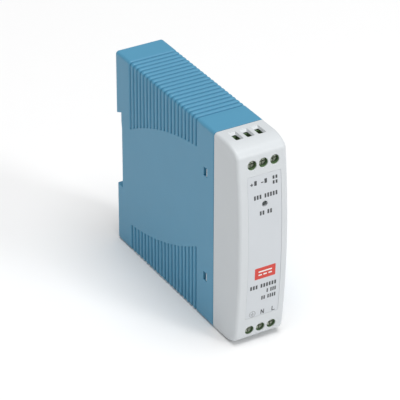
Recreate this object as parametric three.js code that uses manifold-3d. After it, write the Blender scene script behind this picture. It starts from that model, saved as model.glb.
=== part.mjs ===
// DIN rail power supply, 22.5 mm wide. Millimetres: X is the width, Y runs from
// the front face back to the rail, and Z is up. The origin is the middle of the base.

import * as THREE from 'three';
import { mergeVertices } from 'three/addons/utils/BufferGeometryUtils.js';
import Module from 'manifold-3d';

const wasm = await Module();
wasm.setup();

// Envelope
const WIDTH = 22.5;
const DEPTH = 100;
const HEIGHT = 90;
const HALF_W = WIDTH / 2;
const MID_Z = HEIGHT / 2;
const FRONT_Y = -DEPTH / 2;
const REAR_Y = DEPTH / 2;
const JOINT_Y = -30.4;
const GAP = 0.3;

// How far a cutter runs past a face, on the outside of the case and inside a piece
const OVERCUT = 2;
const BITE = 1;

// Housing shell
const HOUSING_WALL = 1.6;
const TOP_EDGE_R = 1.5;
const BASE_EDGE_R = 1.5;
const REAR_EDGE_R = 1.5;
const CAVITY_REAR_Y = 43.1;
const CAVITY_LOW_Z = 1.8;
const UPPER_BLOCK_CAVITY_Y = 48.2;
const UPPER_BLOCK_CAVITY_Z = 65.2;

// Recess for the 35 mm rail: lower ledge, floor, and the slanted upper hook
const LEDGE_Z = 27.2;
const RECESS_Y = 44.9;
const RAIL_PAD_Y = 45.3;
const RAIL_PAD_LOW_Z = 56;
const RAIL_PAD_HIGH_Z = 59;
const HOOK_ROOT_Z = 63.2;
const HOOK_TIP_Z = 61.6;
const HOOK_LIP = { setback: 1, rise: 0.3 };

// Cooling grooves: a row across the top and the base and part of the way down the sides
const GROOVE_COUNT = 20;
const GROOVE_PITCH = 2.814;
const GROOVE_MID_Y = 10.55;
const GROOVE_WIDTH = 1.25;
const GROOVE_DEPTH = 1;
const GROOVE_ARC = { y: -33.2, z: -59, radius: 137.5 };

// Snap joint of the cover: windows in the housing, tongues and lugs on the cover
const SNAP_OFFSET_Z = 24.2;
const SNAP_WINDOW = { lowY: -25.1, highY: -22.4, height: 4 };
const TONGUE = { inner: 8.15, thick: 1.2, height: 8, rootY: -36, tipY: -21, root: 0.2 };
const LUG = { clearance: 0.15, flat: 0.95, ramp: 0.5, endGap: 0.3 };

// Cover
const COVER_WALL = 1.8;
const COVER_EDGE_R = 1.5;
const COVER_BOW_R = 316;
const COVER_FLAT_Y = -38;
const COVER_BROW_Y = -44.5;
const COVER_BROW_R = 16;
const COVER_CORNER_Z = 85.5;

// Label and status light
const LABEL = { left: -7.2, right: 8.2, low: 12.5, high: 77.6, side: 0.15 };
const LABEL_DEPTH = { recess: 0.45, front: 0.06, thick: 0.3 };
const LED_X = 0.5;
const LED_Z = 64.6;
const LED_HOLE_R = 1.25;
const LED_HOLE_REAR_Y = -45;
const LED_LABEL_HOLE_R = 1.45;
const LED = { radius: 1.1, flangeR: 1.45, flangeThick: 0.9, frontY: -48.9, rearY: -42.4 };
const LED_SPACER = { radius: 2, frontY: -42.1, slotHalfWidth: 0.4, slotHalfHeight: 1.3 };

// Terminals: three poles at the top and three at the base, heights measured from mid height
const POLE_PITCH = 5.08;
const TERMINAL_X = 0.5;
const UPPER_POLE_Z = 37.1;
const LOWER_POLE_Z = 38.6;
const ACCESS_HOLE_R = 2;
const ACCESS_REAR_Y = -44;
const COUNTERBORE = { radius: 2.5, depth: 0.5 };
const FUNNEL = { radius: 2.3, depth: 0.75 };
const WIRE_WINDOW = { half: 1.6, frontY: -39.4, rearY: -33 };
const WIRE_THROAT = { half: 1.35, frontY: -38.9, rearY: -34.2, depth: 1 };
const WIRE_POCKET = { half: 2.6, frontY: -39.6, rearY: -33.7 };
const BLOCK = { halfWidth: 7.8, rearY: -33.3, frontY: -45.2, low: 30.2, high: 41.9, chamfer: 3 };
const CHUTE = { half: 2.2, frontY: -39.4, rearY: -33.9, high: 43.3 };
const CHUTE_THROAT = { half: 1.6, frontY: -38.6, rearY: -34.6 };
const CHAMBER = { half: 2.2, rearY: -34.4, frontY: -43.3, high: 41.3 };
const CAGE = { half: 2, rearY: -34.7, frontY: -40.8, below: 2.6, above: 2.4 };
const CAGE_WALL = { side: 0.6, rear: 0.9, front: 1 };
const CONTACT = { half: 1.15, rearY: -38.6, frontY: -39.4, low: 31.8, high: 40.6 };
const TAIL = { half: 0.4, holeHalf: 0.85, room: 0.4, root: 0.2, low: 31.8, high: 32.7, tipY: -30.6 };
const SCREW_HEAD_R = 1.8;
const SCREW_HEAD_Y = { front: -46.2, rear: -44.9 };
const SCREW_SHOULDER = { y: -44.7, radius: 1.6 };
const SCREW_SLOT = { half: 0.25, reach: 1.3, depth: 0.8 };
const SCREW_SHANK_R = 1.22;
const SCREW_HOLE_R = 1.45;
const SCREW_TIP_Y = -39.7;

// Boards
const BOARD_THICK = 1.6;
const FRONT_BOARD = { halfWidth: 7.9, frontY: -33, low: 3, high: 87 };
const MAIN_BOARD = { x: 6.2, frontY: -30.8, rearY: 42.4, low: 3.2, high: 86.8 };
const HEADER = { pins: 5, pitch: 2.54, pin: 0.64, hole: 1.2, body: 2.5, upperZ: 66, lowerZ: 24 };
const HEADER_REACH = { front: 1.2, rear: 3.4, standoff: 0.2 };
const BOARD_RAIL = { frontY: -16, rearY: 38, half: 0.6, endZ: 10, root: 0.5 };

// Rail latch and its spring
const CHANNEL = { half: 6, grooveHalf: 7.2, grooveRearY: 47.1 };
const LATCH = { half: 5.7, flangeHalf: 6.9, flangeFrontY: 45.2, flangeRearY: 46.8, rearY: 49.6 };
const LATCH_NOSE = { frontY: 46.3, tipRearY: 47.5, tipZ: 29.2, rootZ: 27.3 };
const LATCH_TOP_Z = 26.9;
const LATCH_OVERLAP = 0.2;
const SPRING_POCKET = { half: 2.6, frontY: 40.8, low: 4.6, high: 22.3, wall: 1.2 };
const LATCH_HEEL = { half: 2.2, frontY: 41.1, low: 19.6, high: 22 };
const LATCH_TOOL_SLOT = { half: 2.6, frontY: 47.6, low: 1.8, high: 4.4 };
const LATCH_PANEL = { half: 3.4, frontY: 48.4, low: 8, high: 22 };
const SPRING = { radius: 1.7, wire: 0.28, turns: 5, low: 4.9, high: 19.3, y: 43 };

const ARC_STEPS = 3;
const ROUND_STEPS = 16;
const SMALL_ROUND_STEPS = 12;
const LEG_STEPS = 8;

// ---- solids ----

function solidOf(geometry) {
  geometry.deleteAttribute('normal');
  geometry.deleteAttribute('uv');
  const merged = mergeVertices(geometry, 1e-4);
  const corners = [];
  for (let i = 0; i < merged.index.count; i += 3) {
    const a = merged.index.getX(i);
    const b = merged.index.getX(i + 1);
    const c = merged.index.getX(i + 2);
    if (a !== b && b !== c && c !== a) {
      corners.push(a, b, c);
    }
  }
  const vertProperties = new Float32Array(merged.attributes.position.array);
  const triVerts = new Uint32Array(corners);
  return new wasm.Manifold(new wasm.Mesh({ numProp: 3, vertProperties, triVerts }));
}

function geometryOf(solid) {
  const mesh = solid.getMesh();
  const geometry = new THREE.BufferGeometry();
  geometry.setAttribute('position', new THREE.BufferAttribute(mesh.vertProperties, 3));
  geometry.setIndex(new THREE.BufferAttribute(mesh.triVerts, 1));
  geometry.computeVertexNormals();
  return geometry;
}

// A block between two opposite corners
function block(x0, x1, y0, y1, z0, z1) {
  const geometry = new THREE.BoxGeometry(x1 - x0, y1 - y0, z1 - z0);
  geometry.translate((x0 + x1) / 2, (y0 + y1) / 2, (z0 + z1) / 2);
  return solidOf(geometry);
}

function outline(points) {
  return new THREE.Shape(points.map(([a, b]) => new THREE.Vector2(a, b)));
}

// Points of an arc about a centre, angles in degrees
function arc(a, b, radius, from, to, steps = ARC_STEPS) {
  const points = [];
  for (let i = 0; i <= steps; i += 1) {
    const angle = THREE.MathUtils.degToRad(from + ((to - from) * i) / steps);
    points.push([a + radius * Math.cos(angle), b + radius * Math.sin(angle)]);
  }
  return points;
}

function extrude(shape, length) {
  return new THREE.ExtrudeGeometry(shape, { depth: length, bevelEnabled: false, steps: 1 });
}

// A (y, z) outline run along X
function prismX(points, x0, x1) {
  const geometry = extrude(outline(points), x1 - x0);
  geometry.applyMatrix4(new THREE.Matrix4().makeBasis(
    new THREE.Vector3(0, 1, 0),
    new THREE.Vector3(0, 0, 1),
    new THREE.Vector3(1, 0, 0),
  ));
  geometry.translate(x0, 0, 0);
  return solidOf(geometry);
}

// An (x, z) outline run along Y
function prismY(points, y0, y1) {
  const geometry = extrude(outline(points), y1 - y0);
  geometry.rotateX(Math.PI / 2);
  geometry.translate(0, y1, 0);
  return solidOf(geometry);
}

// An (x, y) outline run along Z
function prismZ(points, z0, z1) {
  const geometry = extrude(outline(points), z1 - z0);
  geometry.translate(0, 0, z0);
  return solidOf(geometry);
}

// A cylinder along Y
function rodY(x, z, radius, y0, y1, steps = SMALL_ROUND_STEPS) {
  const geometry = new THREE.CylinderGeometry(radius, radius, y1 - y0, steps);
  geometry.translate(x, (y0 + y1) / 2, z);
  return solidOf(geometry);
}

// A cylinder along Z
function rodZ(x, y, radius, z0, z1, steps = SMALL_ROUND_STEPS) {
  const geometry = new THREE.CylinderGeometry(radius, radius, z1 - z0, steps);
  geometry.rotateX(Math.PI / 2);
  geometry.translate(x, y, (z0 + z1) / 2);
  return solidOf(geometry);
}

// A turned piece about Z from (radius, height) points that start and end on the axis
function turned(points, steps = ROUND_STEPS) {
  const profile = points.map(([radius, height]) => new THREE.Vector2(radius, height));
  const geometry = new THREE.LatheGeometry(profile, steps);
  geometry.rotateX(Math.PI / 2);
  return solidOf(geometry);
}

// A rectangle with its own radius for the low corners and for the high corners
function roundedRect(x0, x1, z0, z1, lowR, highR) {
  return [
    ...arc(x1 - highR, z1 - highR, highR, 0, 90),
    ...arc(x0 + highR, z1 - highR, highR, 90, 180),
    ...arc(x0 + lowR, z0 + lowR, lowR, 180, 270),
    ...arc(x1 - lowR, z0 + lowR, lowR, 270, 360),
  ];
}

function join(solids) {
  return solids.reduce((whole, next) => whole.add(next));
}

function finish(color, roughness, metalness = 0) {
  return new THREE.MeshStandardMaterial({ color, roughness, metalness });
}

function addPart(group, name, solid, material, position = [0, 0, 0]) {
  const mesh = new THREE.Mesh(geometryOf(solid), material);
  mesh.name = name;
  mesh.position.set(...position);
  group.add(mesh);
  return mesh;
}

// ---- housing ----

// Rear silhouette: rounded corners, the rail ledge and floor, and the undercut hook
function housingSide() {
  const r = REAR_EDGE_R;
  const front = JOINT_Y;
  return [
    [front, 0],
    ...arc(REAR_Y - r, r, r, 270, 360),
    [REAR_Y, LEDGE_Z],
    [RECESS_Y, LEDGE_Z],
    [RECESS_Y, RAIL_PAD_LOW_Z],
    [RAIL_PAD_Y, RAIL_PAD_HIGH_Z],
    [RAIL_PAD_Y, HOOK_ROOT_Z],
    [REAR_Y - HOOK_LIP.setback, HOOK_TIP_Z],
    [REAR_Y, HOOK_TIP_Z + HOOK_LIP.rise],
    ...arc(REAR_Y - r, HEIGHT - r, r, 0, 90),
    [front, HEIGHT],
  ];
}

function housingOuter() {
  const section = roundedRect(-HALF_W, HALF_W, 0, HEIGHT, BASE_EDGE_R, TOP_EDGE_R);
  const r = REAR_EDGE_R;
  const plan = [
    [-HALF_W, JOINT_Y],
    [HALF_W, JOINT_Y],
    ...arc(HALF_W - r, REAR_Y - r, r, 0, 90),
    ...arc(-HALF_W + r, REAR_Y - r, r, 90, 180),
  ];
  return prismY(section, JOINT_Y, REAR_Y)
    .intersect(prismX(housingSide(), -HALF_W, HALF_W))
    .intersect(prismZ(plan, 0, HEIGHT));
}

function housingCavity() {
  const half = HALF_W - HOUSING_WALL;
  const high = HEIGHT - CAVITY_LOW_Z;
  const main = block(-half, half, JOINT_Y - OVERCUT, CAVITY_REAR_Y, CAVITY_LOW_Z, high);
  const upper = block(-half, half, 0, UPPER_BLOCK_CAVITY_Y, UPPER_BLOCK_CAVITY_Z, high);
  return main.add(upper);
}

// Height on the side wall where the groove at this depth stops
function grooveEnd(y) {
  const run = y - GROOVE_ARC.y;
  return GROOVE_ARC.z + Math.sqrt(GROOVE_ARC.radius ** 2 - run ** 2);
}

// Every groove is a slice that leaves a core one groove depth below the outer skin
function grooveCutter() {
  const depth = GROOVE_DEPTH;
  const half = HALF_W - depth;
  const coreR = TOP_EDGE_R - depth;
  const core = roundedRect(-half, half, depth, HEIGHT - depth, coreR, coreR);
  const slices = [];
  for (let i = 0; i < GROOVE_COUNT; i += 1) {
    const y = GROOVE_MID_Y + (i - (GROOVE_COUNT - 1) / 2) * GROOVE_PITCH;
    const opposite = 2 * GROOVE_MID_Y - y;
    const y0 = y - GROOVE_WIDTH / 2;
    const y1 = y + GROOVE_WIDTH / 2;
    const reach = HALF_W + OVERCUT;
    slices.push(block(-reach, reach, y0, y1, grooveEnd(y), HEIGHT + OVERCUT));
    slices.push(block(-reach, reach, y0, y1, -OVERCUT, HEIGHT - grooveEnd(opposite)));
  }
  return join(slices).subtract(prismY(core, JOINT_Y, REAR_Y));
}

function snapWindows() {
  const windows = [];
  for (const side of [-1, 1]) {
    for (const z of [MID_Z - SNAP_OFFSET_Z, MID_Z + SNAP_OFFSET_Z]) {
      const x0 = side < 0 ? -HALF_W - OVERCUT : HALF_W - HOUSING_WALL - OVERCUT;
      const x1 = side < 0 ? -HALF_W + HOUSING_WALL + OVERCUT : HALF_W + OVERCUT;
      const half = SNAP_WINDOW.height / 2;
      windows.push(block(x0, x1, SNAP_WINDOW.lowY, SNAP_WINDOW.highY, z - half, z + half));
    }
  }
  return join(windows);
}

// T-shaped channel that the latch slides in, open to the rear, the base and the ledge
function latchChannel() {
  const top = LEDGE_Z + OVERCUT;
  const slot = block(-CHANNEL.half, CHANNEL.half, RECESS_Y, REAR_Y + OVERCUT, -OVERCUT, top);
  const groove = block(
    -CHANNEL.grooveHalf, CHANNEL.grooveHalf, RECESS_Y, CHANNEL.grooveRearY, -OVERCUT, top,
  );
  return slot.add(groove);
}

function springPocketWall() {
  const p = SPRING_POCKET;
  const half = p.half + p.wall;
  const rear = CAVITY_REAR_Y + BITE;
  return block(-half, half, p.frontY - p.wall, rear, p.low - p.wall, p.high + p.wall);
}

function springPocket() {
  const p = SPRING_POCKET;
  return block(-p.half, p.half, p.frontY, RECESS_Y + BITE, p.low, p.high);
}

// Low ribs inside the side wall that hold the edges of the main board
function boardRails() {
  const inner = MAIN_BOARD.x + BOARD_THICK + GAP;
  const r = BOARD_RAIL;
  const wall = HALF_W - HOUSING_WALL + r.root;
  const rails = [];
  for (const z of [r.endZ, MID_Z, HEIGHT - r.endZ]) {
    rails.push(block(inner, wall, r.frontY, r.rearY, z - r.half, z + r.half));
  }
  return join(rails);
}

function housing() {
  return housingOuter()
    .subtract(housingCavity())
    .add(springPocketWall())
    .add(boardRails())
    .subtract(springPocket())
    .subtract(latchChannel())
    .subtract(grooveCutter())
    .subtract(snapWindows());
}

// ---- cover ----

function bowY(z) {
  return FRONT_Y + (z - MID_Z) ** 2 / (2 * COVER_BOW_R);
}

// Side outline of the cover, moved in by a margin: flat top, brow falling to a round
// corner, bowed front, and the same mirrored about mid height
function coverOutline(inset, jointY) {
  const topAt = (y) => {
    const run = Math.max(0, COVER_FLAT_Y - y);
    return HEIGHT - inset - run ** 2 / (2 * COVER_BROW_R);
  };
  const frontAt = (z) => bowY(z) + inset;
  const browEndY = COVER_BROW_Y + inset / 2;
  const browSteps = 4;
  const bowSteps = 5;
  const upper = [[jointY, HEIGHT - inset]];
  for (let i = 0; i < browSteps; i += 1) {
    const y = COVER_FLAT_Y + ((browEndY - COVER_FLAT_Y) * i) / browSteps;
    upper.push([y, topAt(y)]);
  }
  const browEnd = new THREE.Vector2(browEndY, topAt(browEndY));
  const meetY = frontAt(browEnd.y);
  const corner = new THREE.QuadraticBezierCurve(
    browEnd,
    new THREE.Vector2(meetY, topAt(meetY)),
    new THREE.Vector2(frontAt(COVER_CORNER_Z), COVER_CORNER_Z),
  );
  for (const point of corner.getPoints(ARC_STEPS)) {
    upper.push([point.x, point.y]);
  }
  for (let i = 1; i <= bowSteps; i += 1) {
    const z = COVER_CORNER_Z + ((MID_Z - COVER_CORNER_Z) * i) / bowSteps;
    upper.push([frontAt(z), z]);
  }
  const lower = upper.slice(0, -1).map(([y, z]) => [y, HEIGHT - z]);
  return [...upper, ...lower.reverse()];
}

// Side outline run across the width with every edge rounded, then cut square at the joint
function coverOuter() {
  const r = COVER_EDGE_R;
  const geometry = new THREE.ExtrudeGeometry(outline(coverOutline(0, JOINT_Y + 2 * r)), {
    depth: WIDTH - 2 * r,
    bevelEnabled: true,
    bevelThickness: r,
    bevelSize: r,
    bevelOffset: -r,
    bevelSegments: 3,
  });
  geometry.applyMatrix4(new THREE.Matrix4().makeBasis(
    new THREE.Vector3(0, 1, 0),
    new THREE.Vector3(0, 0, 1),
    new THREE.Vector3(1, 0, 0),
  ));
  geometry.translate(-HALF_W + r, 0, 0);
  const reach = HALF_W + OVERCUT;
  return solidOf(geometry)
    .intersect(block(-reach, reach, FRONT_Y - OVERCUT, JOINT_Y, -OVERCUT, HEIGHT + OVERCUT));
}

// A block whose low and high faces are different rectangles
function taperedBlock(low, high, z0, z1) {
  const geometry = new THREE.BoxGeometry(1, 1, 1);
  const position = geometry.attributes.position;
  for (let i = 0; i < position.count; i += 1) {
    const face = position.getZ(i) < 0 ? low : high;
    const x = position.getX(i) < 0 ? -face.half : face.half;
    const y = position.getY(i) < 0 ? face.frontY : face.rearY;
    position.setXYZ(i, x, y, position.getZ(i) < 0 ? z0 : z1);
  }
  return solidOf(geometry);
}

function uprightBlock(face, z0, z1) {
  return block(-face.half, face.half, face.frontY, face.rearY, z0, z1);
}

// Funnel over a wire entry at the top, open to a pocket for the chute of the block
function wireWindow() {
  const inner = HEIGHT - COVER_WALL;
  const throatZ = HEIGHT - WIRE_THROAT.depth;
  const skin = 0.05;
  return taperedBlock(WIRE_THROAT, WIRE_WINDOW, throatZ, HEIGHT + skin)
    .add(uprightBlock(WIRE_THROAT, throatZ - 2 * skin, throatZ + skin))
    .add(uprightBlock(WIRE_POCKET, inner - OVERCUT, throatZ - skin));
}

// Access hole of one screw with the counterbore behind it
function accessHole(x, z) {
  return rodY(x, z, ACCESS_HOLE_R, FRONT_Y - BITE, ACCESS_REAR_Y, ROUND_STEPS)
    .add(bowedRod(x, z, COUNTERBORE.radius, COUNTERBORE.depth, ACCESS_REAR_Y));
}

function coverHoles() {
  const holes = [rodY(LED_X, LED_Z, LED_HOLE_R, FRONT_Y - BITE, LED_HOLE_REAR_Y)];
  for (const pole of [-1, 0, 1]) {
    const x = pole * POLE_PITCH;
    const window = wireWindow().translate([x, 0, 0]);
    holes.push(window);
    holes.push(window.mirror([0, 0, 1]).translate([0, 0, HEIGHT]));
    holes.push(accessHole(TERMINAL_X + x, MID_Z + UPPER_POLE_Z));
    holes.push(accessHole(TERMINAL_X + x, MID_Z - LOWER_POLE_Z));
  }
  return join(holes);
}

// A band that follows the bowed front, between two depths
function frontBand(x0, x1, z0, z1, depth0, depth1, steps = 6) {
  const front = [];
  const rear = [];
  for (let i = 0; i <= steps; i += 1) {
    const z = z0 + ((z1 - z0) * i) / steps;
    front.push([bowY(z) + depth0, z]);
    rear.unshift([bowY(z) + depth1, z]);
  }
  return prismX([...rear, ...front], x0, x1);
}

// A round bar whose front end follows the bowed front at one depth
function bowedRod(x, z, radius, depth, rearY) {
  const reach = radius + 1;
  const band = frontBand(x - reach, x + reach, z - reach, z + reach, depth, depth + 8, 2);
  return rodY(x, z, radius, FRONT_Y, rearY, ROUND_STEPS).intersect(band);
}

// Two tongues a side that slide into the housing, each with a wedge-shaped lug
function tongues() {
  const pieces = [];
  const outer = TONGUE.inner + TONGUE.thick;
  const rootX = HALF_W - COVER_WALL + TONGUE.root;
  const lugX = HALF_W - LUG.clearance;
  const lugFront = SNAP_WINDOW.lowY + LUG.clearance;
  const half = SNAP_WINDOW.height / 2 - LUG.endGap;
  const lug = [
    [outer - TONGUE.root, lugFront],
    [lugX, lugFront],
    [lugX, lugFront + LUG.flat],
    [outer - TONGUE.root, lugFront + LUG.flat + LUG.ramp],
  ];
  for (const z of [MID_Z - SNAP_OFFSET_Z, MID_Z + SNAP_OFFSET_Z]) {
    const z0 = z - TONGUE.height / 2;
    const z1 = z + TONGUE.height / 2;
    pieces.push(block(TONGUE.inner, rootX, TONGUE.rootY, JOINT_Y - GAP, z0, z1));
    pieces.push(block(TONGUE.inner, outer, TONGUE.rootY, TONGUE.tipY, z0, z1));
    pieces.push(prismZ(lug, z - half, z + half));
  }
  const right = join(pieces);
  return right.add(right.mirror([1, 0, 0]));
}

function cover() {
  const half = HALF_W - COVER_WALL;
  const hollow = prismX(coverOutline(COVER_WALL, JOINT_Y + OVERCUT), -half, half);
  const depth = LABEL_DEPTH.recess;
  const recess = frontBand(LABEL.left, LABEL.right, LABEL.low, LABEL.high, -1, depth);
  return coverOuter()
    .subtract(hollow)
    .subtract(coverHoles())
    .subtract(recess)
    .add(tongues());
}

function labelPlate() {
  const l = LABEL;
  const front = LABEL_DEPTH.front;
  const plate = frontBand(
    l.left + l.side, l.right - l.side, l.low + l.side, l.high - l.side,
    front, front + LABEL_DEPTH.thick,
  );
  return plate.subtract(rodY(LED_X, LED_Z, LED_LABEL_HOLE_R, FRONT_Y - BITE, LED_HOLE_REAR_Y));
}

// ---- terminals, in a frame at mid height with the poles near its top ----

// The chutes under the wire entries stand a little to one side of the poles
function terminalBlock(poleZ, chuteX) {
  const b = BLOCK;
  const side = [
    [b.rearY, b.low],
    [b.rearY, b.high],
    [b.frontY + b.chamfer, b.high],
    [b.frontY, b.high - b.chamfer],
    [b.frontY, b.low],
  ];
  const overlap = 0.5;
  const funnelRear = CHAMBER.frontY + overlap;
  const raised = [prismX(side, -b.halfWidth, b.halfWidth)];
  const openings = [];
  for (const pole of [-1, 0, 1]) {
    const x = pole * POLE_PITCH;
    const bore = (radius, front, rear) => rodY(x, poleZ, radius, front, rear, ROUND_STEPS);
    const chamber = uprightBlock(CHAMBER, b.low - BITE, CHAMBER.high);
    const throat = uprightBlock(CHUTE_THROAT, CHAMBER.high - overlap, CHUTE.high + BITE);
    const chute = uprightBlock(CHUTE, b.high - overlap, CHUTE.high);
    raised.push(bowedCollar(x, poleZ, funnelRear));
    raised.push(chute.translate([x + chuteX, 0, 0]));
    openings.push(chamber.translate([x, 0, 0]));
    openings.push(throat.translate([x + chuteX, 0, 0]));
    openings.push(bore(ACCESS_HOLE_R, FRONT_Y, SCREW_SHOULDER.y));
    openings.push(bore(SCREW_SHOULDER.radius, b.frontY, funnelRear));
    openings.push(block(
      x - TAIL.holeHalf, x + TAIL.holeHalf, CONTACT.rearY, b.rearY + BITE,
      TAIL.low - TAIL.room, TAIL.high + TAIL.room,
    ));
  }
  return join(raised).subtract(join(openings));
}

// Collar of the block round a screw head, its front following the bow of the cover
function bowedCollar(x, poleZ, rearY) {
  return bowedRod(x, MID_Z + poleZ, FUNNEL.radius, FUNNEL.depth, rearY).translate([0, 0, -MID_Z]);
}

// Turned head with a cross slot, a plain shank, and the tip that bears on the contact bar
function terminalScrew() {
  const head = rodY(0, 0, SCREW_HEAD_R, SCREW_HEAD_Y.front, SCREW_HEAD_Y.rear, ROUND_STEPS);
  const shankRoot = 0.2;
  const shank = rodY(0, 0, SCREW_SHANK_R, SCREW_HEAD_Y.rear - shankRoot, SCREW_TIP_Y);
  const s = SCREW_SLOT;
  const slotFront = SCREW_HEAD_Y.front - BITE;
  const slotRear = SCREW_HEAD_Y.front + s.depth;
  const upright = block(-s.half, s.half, slotFront, slotRear, -s.reach, s.reach);
  const level = block(-s.reach, s.reach, slotFront, slotRear, -s.half, s.half);
  return head.add(shank).subtract(upright).subtract(level);
}

// Rectangular loop round the wire and the contact bar, with the screw hole in its front
function clampCage() {
  const c = CAGE;
  const inner = {
    half: c.half - CAGE_WALL.side,
    frontY: c.frontY + CAGE_WALL.front,
    rearY: c.rearY - CAGE_WALL.rear,
  };
  return uprightBlock(c, -c.below, c.above)
    .subtract(uprightBlock(inner, -c.below - BITE, c.above + BITE))
    .subtract(rodY(0, 0, SCREW_HOLE_R, c.frontY - BITE, inner.frontY + BITE));
}

// Bar that the wire is clamped against, with a tail through the front board
function contactBar() {
  const c = CONTACT;
  const bar = uprightBlock(c, c.low, c.high);
  const t = TAIL;
  const tail = block(-t.half, t.half, c.rearY - t.root, t.tipY, t.low, t.high);
  return bar.add(tail);
}

// ---- boards ----

function headerPinZ(centre, index) {
  return centre + (index - (HEADER.pins - 1) / 2) * HEADER.pitch;
}

// Board with square holes for the header pins and for the tails of the contact bars
function frontBoard() {
  const b = FRONT_BOARD;
  const rear = b.frontY + BOARD_THICK;
  const holes = [];
  const addHole = (x, z, half) => {
    holes.push(block(x - half, x + half, b.frontY - BITE, rear + BITE, z - half, z + half));
  };
  const headerX = MAIN_BOARD.x - GAP - HEADER.body / 2;
  for (const centre of [HEADER.upperZ, HEADER.lowerZ]) {
    for (let i = 0; i < HEADER.pins; i += 1) {
      addHole(headerX, headerPinZ(centre, i), HEADER.hole / 2);
    }
  }
  const tailZ = (TAIL.low + TAIL.high) / 2;
  for (const pole of [-1, 0, 1]) {
    addHole(TERMINAL_X + pole * POLE_PITCH, MID_Z - tailZ, TAIL.holeHalf);
    addHole(TERMINAL_X + pole * POLE_PITCH, MID_Z + tailZ, TAIL.holeHalf);
  }
  return block(-b.halfWidth, b.halfWidth, b.frontY, rear, b.low, b.high).subtract(join(holes));
}

function headerStrip(centre) {
  const x1 = MAIN_BOARD.x - GAP;
  const x0 = x1 - HEADER.body;
  const reach = HEADER_REACH;
  const y0 = MAIN_BOARD.frontY + reach.standoff;
  const half = (HEADER.pins * HEADER.pitch) / 2;
  const x = (x0 + x1) / 2;
  const pinHalf = HEADER.pin / 2;
  const pieces = [block(x0, x1, y0, y0 + HEADER.body, centre - half, centre + half)];
  for (let i = 0; i < HEADER.pins; i += 1) {
    const z = headerPinZ(centre, i);
    const tip = FRONT_BOARD.frontY - reach.front;
    pieces.push(block(x - pinHalf, x + pinHalf, tip, y0 + reach.rear, z - pinHalf, z + pinHalf));
  }
  return join(pieces);
}

// Domed lens on a flange, turned about the depth axis
function statusLed() {
  const l = LED;
  const domeStart = l.rearY - l.frontY - l.radius;
  const profile = [
    [0, 0],
    [l.flangeR, 0],
    [l.flangeR, l.flangeThick],
    [l.radius, l.flangeThick],
    [l.radius, domeStart],
    ...arc(0, domeStart, l.radius, 22.5, 90, 3),
  ];
  return turned(profile, SMALL_ROUND_STEPS).rotate([90, 0, 0]).translate([LED_X, l.rearY, LED_Z]);
}

// Tube with a slot for the two leads of the status light
function ledSpacer() {
  const s = LED_SPACER;
  const rear = FRONT_BOARD.frontY - GAP;
  const slot = block(
    LED_X - s.slotHalfWidth, LED_X + s.slotHalfWidth, s.frontY - BITE, rear + BITE,
    LED_Z - s.slotHalfHeight, LED_Z + s.slotHalfHeight,
  );
  return rodY(LED_X, LED_Z, s.radius, s.frontY, rear).subtract(slot);
}

// ---- main board parts, in the board's frame: u forwards, v up, w out of its face ----

function mainBoard() {
  const b = MAIN_BOARD;
  const notch = 3;
  const under = -BOARD_THICK - BITE;
  const corner = block(-b.rearY - BITE, -b.rearY + notch, b.low - BITE, b.low + notch, under, BITE);
  return block(-b.rearY, -b.frontY, b.low, b.high, -BOARD_THICK, 0).subtract(corner);
}

// Can capacitor standing on its end, with a crimp ring near the base
function canCapacitor(radius, height) {
  const crimp = { z: 1.6, half: 0.5, depth: 0.4 };
  const rim = 0.5;
  const profile = [
    [0, 0],
    [radius, 0],
    [radius, crimp.z - crimp.half],
    [radius - crimp.depth, crimp.z],
    [radius, crimp.z + crimp.half],
    [radius, height - rim],
    [radius - rim, height],
    [0, height],
  ];
  return turned(profile);
}

// Coated disc standing on two leads
function discPart(radius, thick, lead = 2.2) {
  const half = thick / 2;
  const bevel = half * 0.8;
  const rim = half * 0.3;
  const legR = 0.4;
  const profile = [
    [0, -half],
    [radius - bevel, -half],
    [radius, -rim],
    [radius, rim],
    [radius - bevel, half],
    [0, half],
  ];
  const disc = turned(profile).rotate([90, 0, 0]).translate([0, 0, lead + radius]);
  const spread = radius * 0.5;
  const legTop = lead + radius * 0.8;
  const legs = [-spread, spread].map((u) => rodZ(u, 0, legR, 0, legTop, LEG_STEPS));
  return join([disc, ...legs]);
}

function boxPart(lengthU, lengthV, height, edge = 0.8) {
  return prismZ(roundedBase(lengthU, lengthV, edge), 0, height);
}

function roundedBase(lengthU, lengthV, edge) {
  const u = lengthU / 2;
  const v = lengthV / 2;
  return [
    ...arc(u - edge, v - edge, edge, 0, 90, 2),
    ...arc(-u + edge, v - edge, edge, 90, 180, 2),
    ...arc(-u + edge, -v + edge, edge, 180, 270, 2),
    ...arc(u - edge, -v + edge, edge, 270, 360, 2),
  ];
}

// Flat semiconductor package on a row of legs
function leggedPart(width, thick, height, legs, pitch) {
  const lift = 2.4;
  const leg = { halfU: 0.4, halfV: 0.3, root: 0.5 };
  const pieces = [block(-width / 2, width / 2, -thick / 2, thick / 2, lift, lift + height)];
  for (let i = 0; i < legs; i += 1) {
    const u = (i - (legs - 1) / 2) * pitch;
    pieces.push(block(u - leg.halfU, u + leg.halfU, -leg.halfV, leg.halfV, 0, lift + leg.root));
  }
  return join(pieces);
}

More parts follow.
